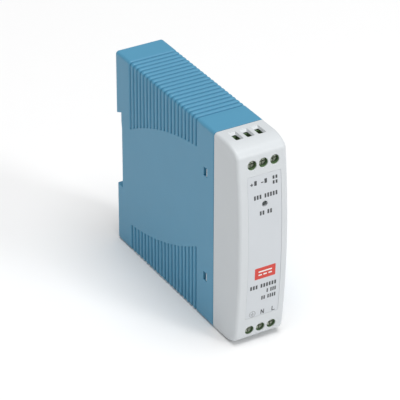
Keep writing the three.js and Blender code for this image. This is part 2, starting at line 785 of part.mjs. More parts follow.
// Small package with a row of formed leads on each long side
function chipPart(lengthU, lengthV, height, legs, pitch) {
  const standoff = 0.4;
  const lead = { half: 0.25, thick: 0.3, reach: 1 };
  const pieces = [block(-lengthU / 2, lengthU / 2, -lengthV / 2, lengthV / 2, standoff, height)];
  const reach = lengthV / 2 + lead.reach;
  const low = height * 0.4;
  const high = low + lead.thick;
  for (let i = 0; i < legs; i += 1) {
    const u = (i - (legs - 1) / 2) * pitch;
    const u0 = u - lead.half;
    const u1 = u + lead.half;
    pieces.push(block(u0, u1, -reach, reach, low, high));
    pieces.push(block(u0, u1, -reach, -reach + lead.thick, 0, high));
    pieces.push(block(u0, u1, reach - lead.thick, reach, 0, high));
  }
  return join(pieces);
}

function heatsink(length, height) {
  const fins = [];
  const finCount = 5;
  const finHalf = 0.6;
  const finReach = 3.6;
  const plateHalf = 0.8;
  for (let i = 0; i < finCount; i += 1) {
    const v = ((i - (finCount - 1) / 2) * (length - 2 * finHalf)) / (finCount - 1);
    fins.push(block(-finReach, 0, v - finHalf, v + finHalf, 0, height));
  }
  return join([block(-plateHalf, plateHalf, -length / 2, length / 2, 0, height), ...fins]);
}

const CORE = { length: 20, width: 17, thick: 5.6, windowLength: 12.4, legWidth: 5.2, high: 4.2 };
const CORE_OUTER_LEG = 2.6;
const BOBBIN = { wall: 0.7, flange: 0.8, low: 0.6, crown: 2.9, pinV: 3.8, pinR: 0.35, pinTop: 1.2 };
const WINDING = { thick: 1.7, bulge: 0.9, slack: 0.15, endPlay: 0.2, sidePlay: 0.1 };

// Ferrite frame with a middle leg along u
function transformerCore() {
  const c = CORE;
  const z0 = c.high;
  const z1 = c.high + c.thick;
  const frame = block(-c.length / 2, c.length / 2, -c.width / 2, c.width / 2, z0, z1);
  const u = c.windowLength / 2;
  const far = c.width / 2 - CORE_OUTER_LEG;
  return frame
    .subtract(block(-u, u, c.legWidth / 2, far, z0 - BITE, z1 + BITE))
    .subtract(block(-u, u, -far, -c.legWidth / 2, z0 - BITE, z1 + BITE));
}

// Former round the middle leg: a square tube between two flanges, on pins
function transformerBobbin() {
  const c = CORE;
  const b = BOBBIN;
  const u = c.windowLength / 2 - GAP;
  const v0 = c.legWidth / 2 + GAP;
  const z0 = c.high - GAP;
  const z1 = c.high + c.thick + GAP;
  const flange = c.width / 2 - CORE_OUTER_LEG - GAP;
  const tube = block(-u, u, -v0 - b.wall, v0 + b.wall, z0 - b.wall, z1 + b.wall);
  const end = (u0, u1) => block(u0, u1, -flange, flange, b.low, z1 + b.crown);
  const pins = [];
  for (const side of [-1, 1]) {
    for (const v of [-b.pinV, 0, b.pinV]) {
      pins.push(rodZ(side * (u - b.flange / 2), v, b.pinR, 0, b.pinTop, LEG_STEPS));
    }
  }
  return join([tube, end(-u, b.flange - u), end(u - b.flange, u), ...pins])
    .subtract(block(-u - BITE, u + BITE, -v0, v0, z0, z1));
}

// Winding and its tape as one ring that fills the former
function transformerWinding() {
  const c = CORE;
  const w = WINDING;
  const u = c.windowLength / 2 - GAP - BOBBIN.flange - w.endPlay;
  const former = GAP + BOBBIN.wall + w.slack;
  const innerV = c.legWidth / 2 + former;
  const innerLow = c.high - former;
  const innerHigh = c.high + c.thick + former;
  const v = c.width / 2 - CORE_OUTER_LEG - GAP - w.sidePlay;
  const low = innerLow - w.thick;
  const high = innerHigh + w.thick;
  const bulge = w.bulge;
  const ring = [
    [v, low + bulge],
    [v, high - bulge],
    [v - bulge, high],
    [-v + bulge, high],
    [-v, high - bulge],
    [-v, low + bulge],
    [-v + bulge, low],
    [v - bulge, low],
  ];
  const core = block(-u - BITE, u + BITE, -innerV, innerV, innerLow, innerHigh);
  return prismX(ring, -u, u).subtract(core);
}

// Ring core on a base plate, with two windings shown as ridges round it
function lineChoke() {
  const radius = 4.2;
  const tubeR = 2.2;
  const high = 8;
  const wireR = 0.4;
  const ridgeHalf = 0.5;
  const ridgeStart = 25;
  const ridgeStep = 26;
  const plate = { length: 15, width: 8, thick: 1.6 };
  const section = arc(radius, 0, tubeR, 0, 300, 5);
  const profile = [...section, section[0]].map(([r, h]) => new THREE.Vector2(r, h));
  const ring = solidOf(new THREE.LatheGeometry(profile, ROUND_STEPS)).translate([0, 0, high]);
  const ridges = [];
  const ridgeCount = 6;
  for (const side of [0, 180]) {
    for (let i = 0; i < ridgeCount; i += 1) {
      const angle = side + ridgeStart + i * ridgeStep;
      const ridge = rodY(0, 0, tubeR + wireR, -ridgeHalf, ridgeHalf, 6)
        .translate([radius, 0, 0])
        .rotate([0, -angle, 0])
        .translate([0, 0, high]);
      ridges.push(ridge);
    }
  }
  return join([ring, boxPart(plate.length, plate.width, plate.thick), ...ridges]);
}

// Drum core wound between two flanges
function outputInductor() {
  const height = 11.4;
  const drumR = 3.7;
  const flange = { radius: 4.6, thick: 1.4, slope: 0.4 };
  const root = flange.thick + flange.slope;
  const profile = [
    [0, 0],
    [flange.radius, 0],
    [flange.radius, flange.thick],
    [drumR, root],
    [drumR, height - root],
    [flange.radius, height - flange.thick],
    [flange.radius, height],
    [0, height],
  ];
  return turned(profile);
}

// Round fuse in a moulded cap with bevelled rims
function fuse() {
  const radius = 4.2;
  const height = 7.9;
  const bevel = 0.4;
  const profile = [
    [0, 0],
    [radius - bevel, 0],
    [radius, bevel],
    [radius, height - bevel],
    [radius - bevel, height],
    [0, height],
  ];
  return turned(profile);
}

// ---- rail latch ----

function latchSide() {
  const l = LATCH;
  const n = LATCH_NOSE;
  return [
    [l.flangeRearY - LATCH_OVERLAP, 0],
    [l.rearY, 0],
    [l.rearY, n.rootZ],
    [n.tipRearY, n.tipZ],
    [n.frontY, n.tipZ],
    [n.frontY, LATCH_TOP_Z - LATCH_OVERLAP],
    [l.flangeRearY - LATCH_OVERLAP, LATCH_TOP_Z - LATCH_OVERLAP],
  ];
}

// Sliding plate with side flanges, a nose behind the rail and a heel over the spring
function railLatch() {
  const l = LATCH;
  const body = prismX(latchSide(), -l.half, l.half);
  const flange = block(
    -l.flangeHalf, l.flangeHalf, l.flangeFrontY, l.flangeRearY, 0, LATCH_TOP_Z,
  );
  const heel = block(
    -LATCH_HEEL.half, LATCH_HEEL.half, LATCH_HEEL.frontY, l.flangeFrontY + LATCH_OVERLAP,
    LATCH_HEEL.low, LATCH_HEEL.high,
  );
  const hollow = (face) => block(-face.half, face.half, face.frontY, REAR_Y, face.low, face.high);
  return join([body, flange, heel])
    .subtract(hollow(LATCH_TOOL_SLOT))
    .subtract(hollow(LATCH_PANEL));
}

class CoilCurve extends THREE.Curve {
  getPoint(t) {
    const angle = t * SPRING.turns * 2 * Math.PI;
    const z = SPRING.low + SPRING.wire + t * (SPRING.high - SPRING.low - 2 * SPRING.wire);
    return new THREE.Vector3(
      SPRING.radius * Math.cos(angle), SPRING.y + SPRING.radius * Math.sin(angle), z,
    );
  }
}

function latchSpring() {
  const section = outline(arc(0, 0, SPRING.wire, 0, 288, 4));
  const stepsPerTurn = 10;
  return solidOf(new THREE.ExtrudeGeometry(section, {
    extrudePath: new CoilCurve(),
    steps: SPRING.turns * stepsPerTurn,
    bevelEnabled: false,
  }));
}

// ---- assembly ----

const bluePlastic = finish('#5d8ca8', 0.5);
const greyPlastic = finish('#d2d7db', 0.5);
const labelFilm = finish('#cfd4d8', 0.45);
const greenPlastic = finish('#3f6b3a', 0.55);
const darkPlastic = finish('#23262a', 0.5);
const whitePlastic = finish('#dedbd0', 0.6);
const screwSteel = finish('#b4b8ae', 0.35, 0.9);
const cageSteel = finish('#9ea2a0', 0.4, 0.9);
const tinnedBrass = finish('#b9a878', 0.35, 0.9);
const boardLaminate = finish('#2f6b3c', 0.6);
const ledLens = finish('#4f6a4c', 0.3);
const canSleeve = finish('#1d2b52', 0.4);
const ferrite = finish('#33353a', 0.7);
const windingTape = finish('#d8b23a', 0.5);
const copperWire = finish('#a8643a', 0.4, 0.6);
const sinkAluminium = finish('#a9adb0', 0.45, 0.9);
const filmBox = finish('#c9a53c', 0.5);
const blueCoat = finish('#2b4f8f', 0.5);
const darkCoat = finish('#2f3d2e', 0.6);
const latchPlastic = finish('#2b2e33', 0.5);

const group = new THREE.Group();

addPart(group, 'housing', housing(), bluePlastic);
addPart(group, 'front_cover', cover(), greyPlastic);
addPart(group, 'label_plate', labelPlate(), labelFilm);
addPart(group, 'rail_latch', railLatch(), latchPlastic);
addPart(group, 'latch_spring', latchSpring(), cageSteel);
addPart(group, 'front_board', frontBoard(), boardLaminate);
addPart(group, 'header_upper', headerStrip(HEADER.upperZ), darkPlastic);
addPart(group, 'header_lower', headerStrip(HEADER.lowerZ), darkPlastic);
addPart(group, 'status_led', statusLed(), ledLens);
addPart(group, 'led_spacer', ledSpacer(), whitePlastic);

// The lower terminal row is turned half a turn about the depth axis
const terminalRows = [
  {
    block: 'dc',
    turn: 0,
    poleZ: UPPER_POLE_Z,
    chuteX: -TERMINAL_X,
    poles: ['plus', 'minus', 'dc_ok'],
  },
  {
    block: 'ac',
    turn: Math.PI,
    poleZ: LOWER_POLE_Z,
    chuteX: TERMINAL_X,
    poles: ['live', 'neutral', 'earth'],
  },
];
for (const row of terminalRows) {
  const rowGroup = new THREE.Group();
  rowGroup.position.set(TERMINAL_X, 0, MID_Z);
  rowGroup.rotation.y = row.turn;
  group.add(rowGroup);
  const body = terminalBlock(row.poleZ, row.chuteX);
  addPart(rowGroup, `terminal_block_${row.block}`, body, greenPlastic);
  row.poles.forEach((pole, index) => {
    const x = (index - 1) * POLE_PITCH;
    addPart(rowGroup, `screw_${pole}`, terminalScrew(), screwSteel, [x, 0, row.poleZ]);
    addPart(rowGroup, `cage_${pole}`, clampCage(), cageSteel, [x, 0, row.poleZ]);
    addPart(rowGroup, `contact_${pole}`, contactBar(), tinnedBrass, [x, 0, 0]);
  });
}

// Main board frame: u points forwards, v up and w towards the components
const boardGroup = new THREE.Group();
boardGroup.position.set(MAIN_BOARD.x, 0, 0);
boardGroup.setRotationFromMatrix(new THREE.Matrix4().makeBasis(
  new THREE.Vector3(0, -1, 0),
  new THREE.Vector3(0, 0, 1),
  new THREE.Vector3(-1, 0, 0),
));
group.add(boardGroup);
addPart(boardGroup, 'main_board', mainBoard(), boardLaminate);

// A part standing on the main board at a depth and height of the case, turned in degrees
function mount(name, solid, material, y, z, turn = 0) {
  const mesh = addPart(boardGroup, name, solid, material, [-y, z, GAP]);
  mesh.rotation.z = THREE.MathUtils.degToRad(turn);
}

mount('fuse', fuse(), darkPlastic, -19, 10);
mount('inrush_thermistor', discPart(4.5, 3.6), darkCoat, -18, 23);
mount('varistor', discPart(4.8, 4), blueCoat, -8, 17, 90);
mount('x_capacitor', boxPart(17.5, 7.5, 13.5), filmBox, 7, 9);
mount('line_choke', lineChoke(), copperWire, 8, 21);
mount('bridge_rectifier', leggedPart(15, 3.4, 9.6, 4, 3.8), darkPlastic, 26, 8);
mount('bulk_capacitor', canCapacitor(6.2, 15), canSleeve, 26, 20);
mount('smoothing_capacitor', canCapacitor(6.2, 15), canSleeve, 33, 34);
mount('transformer_core', transformerCore(), ferrite, 2, 44);
mount('transformer_bobbin', transformerBobbin(), darkPlastic, 2, 44);
mount('transformer_winding', transformerWinding(), windingTape, 2, 44);
mount('transistor_heatsink', heatsink(20, 14), sinkAluminium, 20.5, 41);
mount('switching_transistor', leggedPart(10, 4.2, 10.5, 3, 2.54), darkPlastic, 17, 41, 90);
mount('controller_chip', chipPart(4.9, 3.9, 1.7, 4, 1.27), darkPlastic, -15, 35);
mount('optocoupler', chipPart(4.6, 6.4, 3.6, 2, 2.54), whitePlastic, -16, 45);
mount('y_capacitor', discPart(3.5, 3), blueCoat, -15, 54);
mount('output_diode', leggedPart(10, 4.2, 10.5, 3, 2.54), darkPlastic, 8, 60);
mount('output_capacitor_upper', canCapacitor(5, 13), canSleeve, 6, 78);
mount('output_capacitor_lower', canCapacitor(5, 13), canSleeve, 21, 62);
mount('output_inductor', outputInductor(), copperWire, -7, 66);
mount('filter_capacitor', canCapacitor(4, 11), canSleeve, -8, 79);
mount('bleed_resistor', boxPart(6.3, 3.2, 0.9, 0.3), darkPlastic, 24, 78);

export default group;
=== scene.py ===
"""Looks of a slim DIN rail power supply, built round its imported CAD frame.

Geometry helpers work in millimetres and write meshes in metres. X is the width,
Y runs from the front cover back to the rail, and Z is up.
"""

import math

import bmesh
import bpy
from mathutils import Matrix, Vector


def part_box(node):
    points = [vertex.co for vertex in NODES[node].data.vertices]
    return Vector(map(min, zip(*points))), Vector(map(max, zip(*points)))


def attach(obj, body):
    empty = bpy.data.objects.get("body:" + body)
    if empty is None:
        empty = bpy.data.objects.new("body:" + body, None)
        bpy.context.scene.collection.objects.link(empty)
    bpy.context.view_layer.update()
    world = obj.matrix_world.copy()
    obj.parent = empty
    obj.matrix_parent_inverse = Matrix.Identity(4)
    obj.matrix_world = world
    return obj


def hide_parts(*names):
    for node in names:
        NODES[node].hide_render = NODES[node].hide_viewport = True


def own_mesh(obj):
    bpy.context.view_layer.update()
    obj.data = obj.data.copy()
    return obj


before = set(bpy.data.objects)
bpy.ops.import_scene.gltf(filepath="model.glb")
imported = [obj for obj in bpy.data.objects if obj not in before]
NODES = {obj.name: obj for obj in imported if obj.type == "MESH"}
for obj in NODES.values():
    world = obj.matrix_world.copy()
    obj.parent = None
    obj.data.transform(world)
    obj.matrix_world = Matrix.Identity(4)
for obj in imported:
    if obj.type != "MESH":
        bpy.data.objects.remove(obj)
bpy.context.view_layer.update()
MM = 0.001


def box_mm(node):
    low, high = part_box(node)
    return low / MM, high / MM


# Places taken from the frame
HOUSING_LOW, HOUSING_HIGH = box_mm("housing")
COVER_LOW, COVER_HIGH = box_mm("front_cover")
LABEL_LOW, LABEL_HIGH = box_mm("label_plate")
LED_LOW, LED_HIGH = box_mm("status_led")
SPRING_LOW, SPRING_HIGH = box_mm("latch_spring")
HALF_W = HOUSING_HIGH.x
HEIGHT = HOUSING_HIGH.z
MID_Z = HEIGHT / 2
JOINT_Y = HOUSING_LOW.y
REAR_Y = HOUSING_HIGH.y
FRONT_Y = COVER_LOW.y
POLES = ("plus", "minus", "dc_ok", "earth", "neutral", "live")

# Housing
WALL = 1.6
END_WALL = 1.8
TOP_R = 1.5
BASE_R = 1.5
REAR_R = 1.3
CAVITY_REAR_Y = 43.1
LEDGE_Z = 27.2
RECESS_Y = 44.9
PAD_Y = 45.3
PAD_LOW_Z = 56.0
PAD_HIGH_Z = 59.0
HOOK_ROOT_Z = 63.2
HOOK_TIP_Z = 61.6
HOOK_LIP_SETBACK = 1.0
HOOK_LIP_RISE = 0.3
HOOK_RUN_OUT = (3.0, 0.9)
JOINT_LEDGE = 0.6
JOINT_LEDGE_LENGTH = 0.46
JOINT_EDGE = ((0.48, 0.14), (0.54, 0.05), (0.66, 0.0))

# Channel of the latch and the pocket of its spring
CHANNEL_HALF = 6.0
CHANNEL_GROOVE_HALF = 7.2
CHANNEL_GROOVE_REAR_Y = 47.1
POCKET_HALF = 2.6
POCKET_FRONT_Y = 40.8
POCKET_LOW_Z = 4.6
POCKET_HIGH_Z = 22.3
POCKET_WALL = 1.2

# Snap joint: the window is (front, rear, height)
SNAP_OFFSET_Z = 24.2
SNAP_WINDOW = (-25.1, -22.4, 4.0)
TONGUE_INNER = 8.15
TONGUE_THICK = 1.2
TONGUE_HALF_HEIGHT = 4.0
TONGUE_ROOT_Y = -36.0
TONGUE_OVERLAP = 0.2
TONGUE_GAP = 0.3
LUG_SINK = 0.2
LUG_FLAT = 0.65
LUG_RAMP = 0.5
LUG_FRONT_GAP = 0.15

# Grooves: rows across the top and the base that end on two arcs on the sides
GROOVES = 20
GROOVE_PITCH = 2.814
GROOVE_MID_Y = 10.55
GROOVE_DEPTH = 1.0
ARC_Y = -33.2
ARC_Z = -59.0
ARC_R = 137.5

# Groove profiles as (distance, share of the depth): from the middle of a groove forwards,
# from there rearwards into the rounded edge of the next rib, and along a side at its end
GROOVE_FRONT_WALL = (
    (0.0, 1.0), (0.36, 1.0), (0.47, 0.96), (0.54, 0.86), (0.58, 0.6),
    (0.62, 0.3), (0.68, 0.13), (0.78, 0.04), (0.92, 0.01), (1.1, 0.0),
)
GROOVE_REAR_WALL = (
    (0.3, 1.0), (0.4, 0.97), (0.46, 0.86), (0.49, 0.64), (0.54, 0.43),
    (0.63, 0.27), (0.76, 0.14), (0.94, 0.05), (1.16, 0.01), (1.38, 0.0),
)
GROOVE_END = ((-0.45, 1.0), (-0.12, 1.0), (0.0, 0.8), (0.06, 0.15), (0.2, 0.0))

# Cover; wire entries are (width, front, rear)
COVER_WALL = 1.8
COVER_R = 1.5
BOW_R = 316.0
FLAT_Y = -38.0
BROW_Y = -44.5
BROW_R = 16.0
CORNER_Z = 85.5
LIP = 0.22
ACCESS_R = 2.0
LED_HOLE_R = 1.25
LED_LABEL_HOLE_R = 1.45
WIRE_WINDOW = (3.2, -39.4, -33.0)
WIRE_THROAT = (2.4, -38.7, -34.2)
WIRE_POCKET = (5.2, -39.6, -33.7)
WIRE_FUNNEL_DEPTH = 1.0
WIRE_CORNER_R = 0.4
CUT_DEPTH = 6.0
COUNTERBORE_R = 2.5
COUNTERBORE_DEPTH = 0.5
LABEL_RECESS = 0.45
LABEL_SIDE = 0.07
LABEL_DEPTH = 0.06
LABEL_THICK = 0.3
LED_X = (LED_LOW.x + LED_HIGH.x) / 2
LED_Z = (LED_LOW.z + LED_HIGH.z) / 2
TONGUE_TIP_Y = COVER_HIGH.y

# Print: how far it stands proud of the label and sinks into it, and its stroke widths
PRINT_PROUD = 0.03
PRINT_SINK = 0.1
PRINT_CORNER_R = 0.06
STROKE = 0.36
DIAGONAL_STROKE = 0.4
THIN_STROKE = 0.22
UPPER_MARKS_Z = 74.4
LOWER_MARKS_Z = 14.2
SIGN_SIZE = 1.3
TAG_WIDE = 1.1
TAG_TALL = 1.9
LETTER_HALF_WIDTH = 0.6
LETTER_HALF_HEIGHT = 1.1
BADGE = (-3.8, 5.7, 30.8, 36.1)
BADGE_PROUD = 0.02

# Terminals and latch; heights are from mid height, and plans are (half width, front, rear)
BLOCK_LOW = 30.2
BLOCK_HIGH = 41.9
BLOCK_FRONT_Y = -45.2
BLOCK_CHAMFER = 3.0
CHUTE = (2.2, -39.4, -33.9)
CHUTE_THROAT = (1.6, -38.6, -34.6)
CHUTE_TOP = 43.3
CHAMBER = (2.2, -43.3, -34.4)
CHAMBER_TOP = 41.3
TAIL_HOLE = (0.85, -38.6, -32.0)
TAIL_HOLE_LOW = 31.4
TAIL_HOLE_HIGH = 33.1
SCREW_FUNNEL_R = 2.3
SCREW_FUNNEL_DEPTH = 0.58
SHOULDER_Y = -44.7
SHOULDER_R = 1.6
SCREW_HEAD_LENGTH = 1.3
WIRE_STEP = -0.6
BORE_MOUTH = ((-2.0, 0.25), (SCREW_FUNNEL_DEPTH, 0.12), (SCREW_FUNNEL_DEPTH + 0.12, 0.0))
BLOCK_OVERLAP = 0.5
SCREW_PITCH = 0.5
SCREW_SHANK_R = 1.22
SCREW_ROOT = 0.1
THREAD_DEPTH = 0.22
HEAD_EDGE = 0.28
SLOT_WIDE = 0.5
SLOT_LONG = 3.0
SLOT_DEPTH = 0.8
LENS_R = 1.1
FLANGE_R = 1.45
FLANGE_THICK = 0.9
SPRING_WIRE = 0.28
SPRING_TURNS = 6.5
SPRING_CLOSED_TURNS = 0.8


# ---- mesh helpers ----

def make(name, verts, faces):
    """A mesh object from points in millimetres."""
    mesh = bpy.data.meshes.new(name)
    mesh.from_pydata([Vector(v) * MM for v in verts], [], faces)
    obj = bpy.data.objects.new(name, mesh)
    bpy.context.scene.collection.objects.link(obj)
    return obj


def outward(obj):
    """Turns every face of a closed mesh outwards."""
    bm = bmesh.new()
    bm.from_mesh(obj.data)
    bmesh.ops.recalc_face_normals(bm, faces=bm.faces)
    bm.to_mesh(obj.data)
    bm.free()
    return obj


def loft(name, rings):
    """A closed solid through rings that have the same number of points."""
    count = len(rings[0])
    verts = [p for ring in rings for p in ring]
    faces = []
    for i in range(len(rings) - 1):
        for j in range(count):
            a = i * count + j
            b = i * count + (j + 1) % count
            faces.append((a, b, b + count, a + count))
    faces.append(tuple(range(count)))
    last = (len(rings) - 1) * count
    faces.append(tuple(last + j for j in range(count)))
    return outward(make(name, verts, faces))


def prism_x(name, outline, x0, x1):
    """A (y, z) outline run along X."""
    return loft(name, [[(x, y, z) for y, z in outline] for x in (x0, x1)])


def brick(name, x0, x1, y0, y1, z0, z1):
    return prism_x(name, [(y0, z0), (y1, z0), (y1, z1), (y0, z1)], x0, x1)


def applied(obj):
    """Makes the modifiers' result the object's own mesh."""
    graph = bpy.context.evaluated_depsgraph_get()
    mesh = bpy.data.meshes.new_from_object(obj.evaluated_get(graph))
    obj.modifiers.clear()
    obj.data = mesh
    return obj


def boolean(obj, tool, operation="DIFFERENCE"):
    modifier = obj.modifiers.new("cut", "BOOLEAN")
    modifier.operation = operation
    modifier.solver = "EXACT"
    modifier.object = tool
    applied(obj)
    bpy.data.objects.remove(tool)
    return obj


def bevel(obj, width_mm, angle=55, segments=2):
    modifier = obj.modifiers.new("edges", "BEVEL")
    modifier.width = width_mm * MM
    modifier.segments = segments
    modifier.limit_method = "ANGLE"
    modifier.angle_limit = math.radians(angle)
    modifier.use_clamp_overlap = True
    return obj


def smooth(obj, angle=38):
    """Smooth shading with sharp edges above an angle, and flat faces kept flat."""
    bm = bmesh.new()
    bm.from_mesh(obj.data)
    limit = math.radians(angle)
    for face in bm.faces:
        face.smooth = True
    for edge in bm.edges:
        edge.smooth = not (edge.is_manifold and edge.calc_face_angle(0) > limit)
    bm.to_mesh(obj.data)
    bm.free()
    weighted = obj.modifiers.new("normals", "WEIGHTED_NORMAL")
    weighted.keep_sharp = True
    return obj


def arc_points(a, b, radius, start, stop, steps):
    points = []
    for i in range(steps + 1):
        angle = math.radians(start + (stop - start) * i / steps)
        points.append((a + radius * math.cos(angle), b + radius * math.sin(angle)))
    return points


def rounded_rect(a0, a1, b0, b1, radius, steps=4):
    return (
        arc_points(a1 - radius, b1 - radius, radius, 0, 90, steps)
        + arc_points(a0 + radius, b1 - radius, radius, 90, 180, steps)
        + arc_points(a0 + radius, b0 + radius, radius, 180, 270, steps)
        + arc_points(a1 - radius, b0 + radius, radius, 270, 360, steps)
    )


# ---- materials ----

def material(name, color, roughness, metallic=0.0, grain=0.25, bump=0.02, mottle=0.03, **sockets):
    """A principled surface with fine grain, soft colour drift and uneven gloss. Sizes in mm."""
    mat = bpy.data.materials.new(name)
    mat.use_nodes = True
    tree = mat.node_tree
    shader = tree.nodes["Principled BSDF"]
    shader.inputs["Metallic"].default_value = metallic
    for socket, value in sockets.items():
        shader.inputs[socket.replace("_", " ")].default_value = value
    place = tree.nodes.new("ShaderNodeTexCoord")

    def noise(size_mm, detail):
        node = tree.nodes.new("ShaderNodeTexNoise")
        node.inputs["Scale"].default_value = 1 / (size_mm * MM)
        node.inputs["Detail"].default_value = detail
        tree.links.new(place.outputs["Object"], node.inputs["Vector"])
        return node

    fine = noise(grain, 2)
    broad = noise(14, 3)
    tint = tree.nodes.new("ShaderNodeMix")
    tint.data_type = "RGBA"
    tint.inputs["A"].default_value = [c * (1 - mottle) for c in color] + [1]
    tint.inputs["B"].default_value = [min(1, c * (1 + mottle)) for c in color] + [1]
    tree.links.new(broad.outputs["Fac"], tint.inputs["Factor"])
    tree.links.new(tint.outputs["Result"], shader.inputs["Base Color"])
    gloss = tree.nodes.new("ShaderNodeMapRange")
    gloss.inputs["To Min"].default_value = roughness - 0.06
    gloss.inputs["To Max"].default_value = roughness + 0.06
    tree.links.new(fine.outputs["Fac"], gloss.inputs["Value"])
    tree.links.new(gloss.outputs["Result"], shader.inputs["Roughness"])
    relief = tree.nodes.new("ShaderNodeBump")
    relief.inputs["Strength"].default_value = 0.6
    relief.inputs["Distance"].default_value = bump * MM
    tree.links.new(fine.outputs["Fac"], relief.inputs["Height"])
    tree.links.new(relief.outputs["Normal"], shader.inputs["Normal"])
    return mat


BLUE = material("blue_case", (0.08, 0.292, 0.453), 0.44, grain=0.35, bump=0.03)
GREY = material("grey_cover", (0.62, 0.65, 0.67), 0.42, grain=0.35, bump=0.03)
LABEL = material("label_film", (0.6, 0.63, 0.66), 0.42, grain=0.8, bump=0.008)
INK = material("label_ink", (0.06, 0.065, 0.07), 0.6, grain=0.2, bump=0.01)
RED = material("label_red", (0.62, 0.05, 0.035), 0.5, grain=0.2, bump=0.01)
GREY_INK = material("label_grey_ink", (0.3, 0.31, 0.32), 0.6, grain=0.2, bump=0.01)
WHITE_INK = material("label_white", (0.82, 0.82, 0.8), 0.5, grain=0.2, bump=0.01)
GREEN = material("green_terminal", (0.13, 0.22, 0.1), 0.5, grain=0.3, bump=0.03)
DARK = material("dark_plastic", (0.02, 0.021, 0.024), 0.5)
WHITE = material("white_plastic", (0.68, 0.66, 0.58), 0.55)
# Terminal screws: zinc grey metal with a green tint painted into the colour, a painted reflection
# of the green terminal block round the heads
SCREW_WITH_PAINTED_REFLECTION = material("screw_zinc_painted_green_reflection", (0.42, 0.46, 0.38), 0.48, metallic=0.6, grain=0.12, bump=0.01)
CAGE = material("cage_zinc", (0.5, 0.51, 0.5), 0.4, metallic=0.95, grain=0.1, bump=0.01)
BRASS = material("tinned_brass", (0.62, 0.54, 0.34), 0.35, metallic=0.95, grain=0.15, bump=0.01)
BOARD = material("board_resist", (0.03, 0.14, 0.05), 0.4, grain=0.5, bump=0.02, mottle=0.12)
LENS = material("led_lens", (0.035, 0.05, 0.05), 0.3, grain=1.0, bump=0.004, Coat_Weight=0.2)
SLEEVE = material("can_sleeve", (0.02, 0.035, 0.11), 0.35, grain=1.2, bump=0.02)
FERRITE = material("ferrite", (0.03, 0.03, 0.034), 0.65, grain=0.18, bump=0.05)
TAPE = material("winding_tape", (0.62, 0.42, 0.05), 0.4, grain=1.5, bump=0.03)
COPPER = material("enamelled_copper", (0.48, 0.16, 0.05), 0.35, metallic=0.7, grain=0.3, bump=0.03)
SINK = material("sink_aluminium", (0.55, 0.56, 0.57), 0.4, metallic=0.95, grain=0.2, bump=0.02)
FILM = material("film_box", (0.6, 0.38, 0.06), 0.4)
BLUE_COAT = material("blue_coat", (0.02, 0.07, 0.3), 0.35, grain=1.4, bump=0.05)
DARK_COAT = material("dark_coat", (0.025, 0.04, 0.025), 0.5, grain=1.4, bump=0.05)
LATCH = material("latch_plastic", (0.022, 0.023, 0.027), 0.45, grain=0.3, bump=0.03)


def paint(obj, mat):
    obj.data.materials.clear()
    obj.data.materials.append(mat)
    return obj


def piece(obj, mat, body, slot, *nodes):
    """Finishes a piece: its material, the body it rides on and the nodes it stands for."""
    paint(obj, mat)
    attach(obj, body)
    if nodes:
        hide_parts(*nodes)
    return obj


# ---- housing ----

def upper_end(y):
    """Height on the side wall where the upper groove at this depth ends."""
    first = GROOVE_MID_Y - (GROOVES - 1) / 2 * GROOVE_PITCH
    last = 2 * GROOVE_MID_Y - first
    y = min(max(y, first), last)
    return ARC_Z + math.sqrt(ARC_R**2 - (y - ARC_Y) ** 2)


def around(a, b, radius, start, step, count):
    """Points and outward normals round an arc, angles in degrees."""
    points = []
    for k in range(count):
        angle = math.radians(start + step * k)
        n = (math.cos(angle), math.sin(angle))
        points.append((a + radius * n[0], b + radius * n[1], n))
    return points


def half_section(y):
    """Right half of the case's section from base to top: (x, z, outward normal, groove share)."""
    low = HEIGHT - upper_end(2 * GROOVE_MID_Y - y)
    high = upper_end(y)
    across = (0.0, 3.0, 6.0, 8.4)
    lead = -GROOVE_END[0][0]
    side = (1.0, 0.0)
    points = [(x, 0.0, (0.0, -1.0), 1.0) for x in across]
    for x, z, n in around(HALF_W - BASE_R, BASE_R, BASE_R, -90, 15, 7):
        points.append((x, z, n, 1.0))
    for k in (1, 2):
        points.append((HALF_W, BASE_R + (low - lead - BASE_R) * k / 3, side, 1.0))
    for offset, share in GROOVE_END:
        points.append((HALF_W, low + offset, side, share))
    for k in (1, 2, 3):
        points.append((HALF_W, low + (high - low) * k / 4, side, 0.0))
    for offset, share in reversed(GROOVE_END):
        points.append((HALF_W, high - offset, side, share))
    start = HEIGHT - TOP_R
    for k in (1, 2):
        points.append((HALF_W, high + lead + (start - high - lead) * k / 3, side, 1.0))
    for x, z, n in around(HALF_W - TOP_R, start, TOP_R, 0, 11.25, 9):
        points.append((x, z, n, 1.0))
    points += [(x, HEIGHT, (0.0, 1.0), 1.0) for x in reversed(across)]
    return points


def section_ring(y, inset, depth):
    """The whole section at one depth, moved in by an inset, with its grooves cut to a depth."""
    right = []
    for x, z, (nx, nz), share in half_section(y):
        sink = inset + share * depth
        right.append((x - nx * sink, y, z - nz * sink))
    left = [(-x, y, z) for x, y, z in reversed(right[1:-1])]
    return right + left


def housing_skin():
    """The grooved outer skin as a closed solid, with soft edges at the front and the rear."""
    rings = [(JOINT_Y, JOINT_LEDGE, 0.0), (JOINT_Y + JOINT_LEDGE_LENGTH, JOINT_LEDGE, 0.0)]
    rings += [(JOINT_Y + run, inset, 0.0) for run, inset in JOINT_EDGE]
    rings += [(y, 0.0, 0.0) for y in (-28.0, -24.0, -20.0)]
    for i in range(GROOVES):
        centre = GROOVE_MID_Y + (i - (GROOVES - 1) / 2) * GROOVE_PITCH
        for offset, share in reversed(GROOVE_FRONT_WALL):
            rings.append((centre - offset, 0.0, share * GROOVE_DEPTH))
        for offset, share in GROOVE_REAR_WALL:
            rings.append((centre + offset, 0.0, share * GROOVE_DEPTH))
    rings += [(y, 0.0, 0.0) for y in (40.0, 43.5, 46.5)]
    for k in range(7):
        a = math.radians(15 * k)
        rings.append((REAR_Y - REAR_R + REAR_R * math.sin(a), REAR_R * (1 - math.cos(a)), 0.0))
    return loft("housing_shell", [section_ring(*ring) for ring in rings])


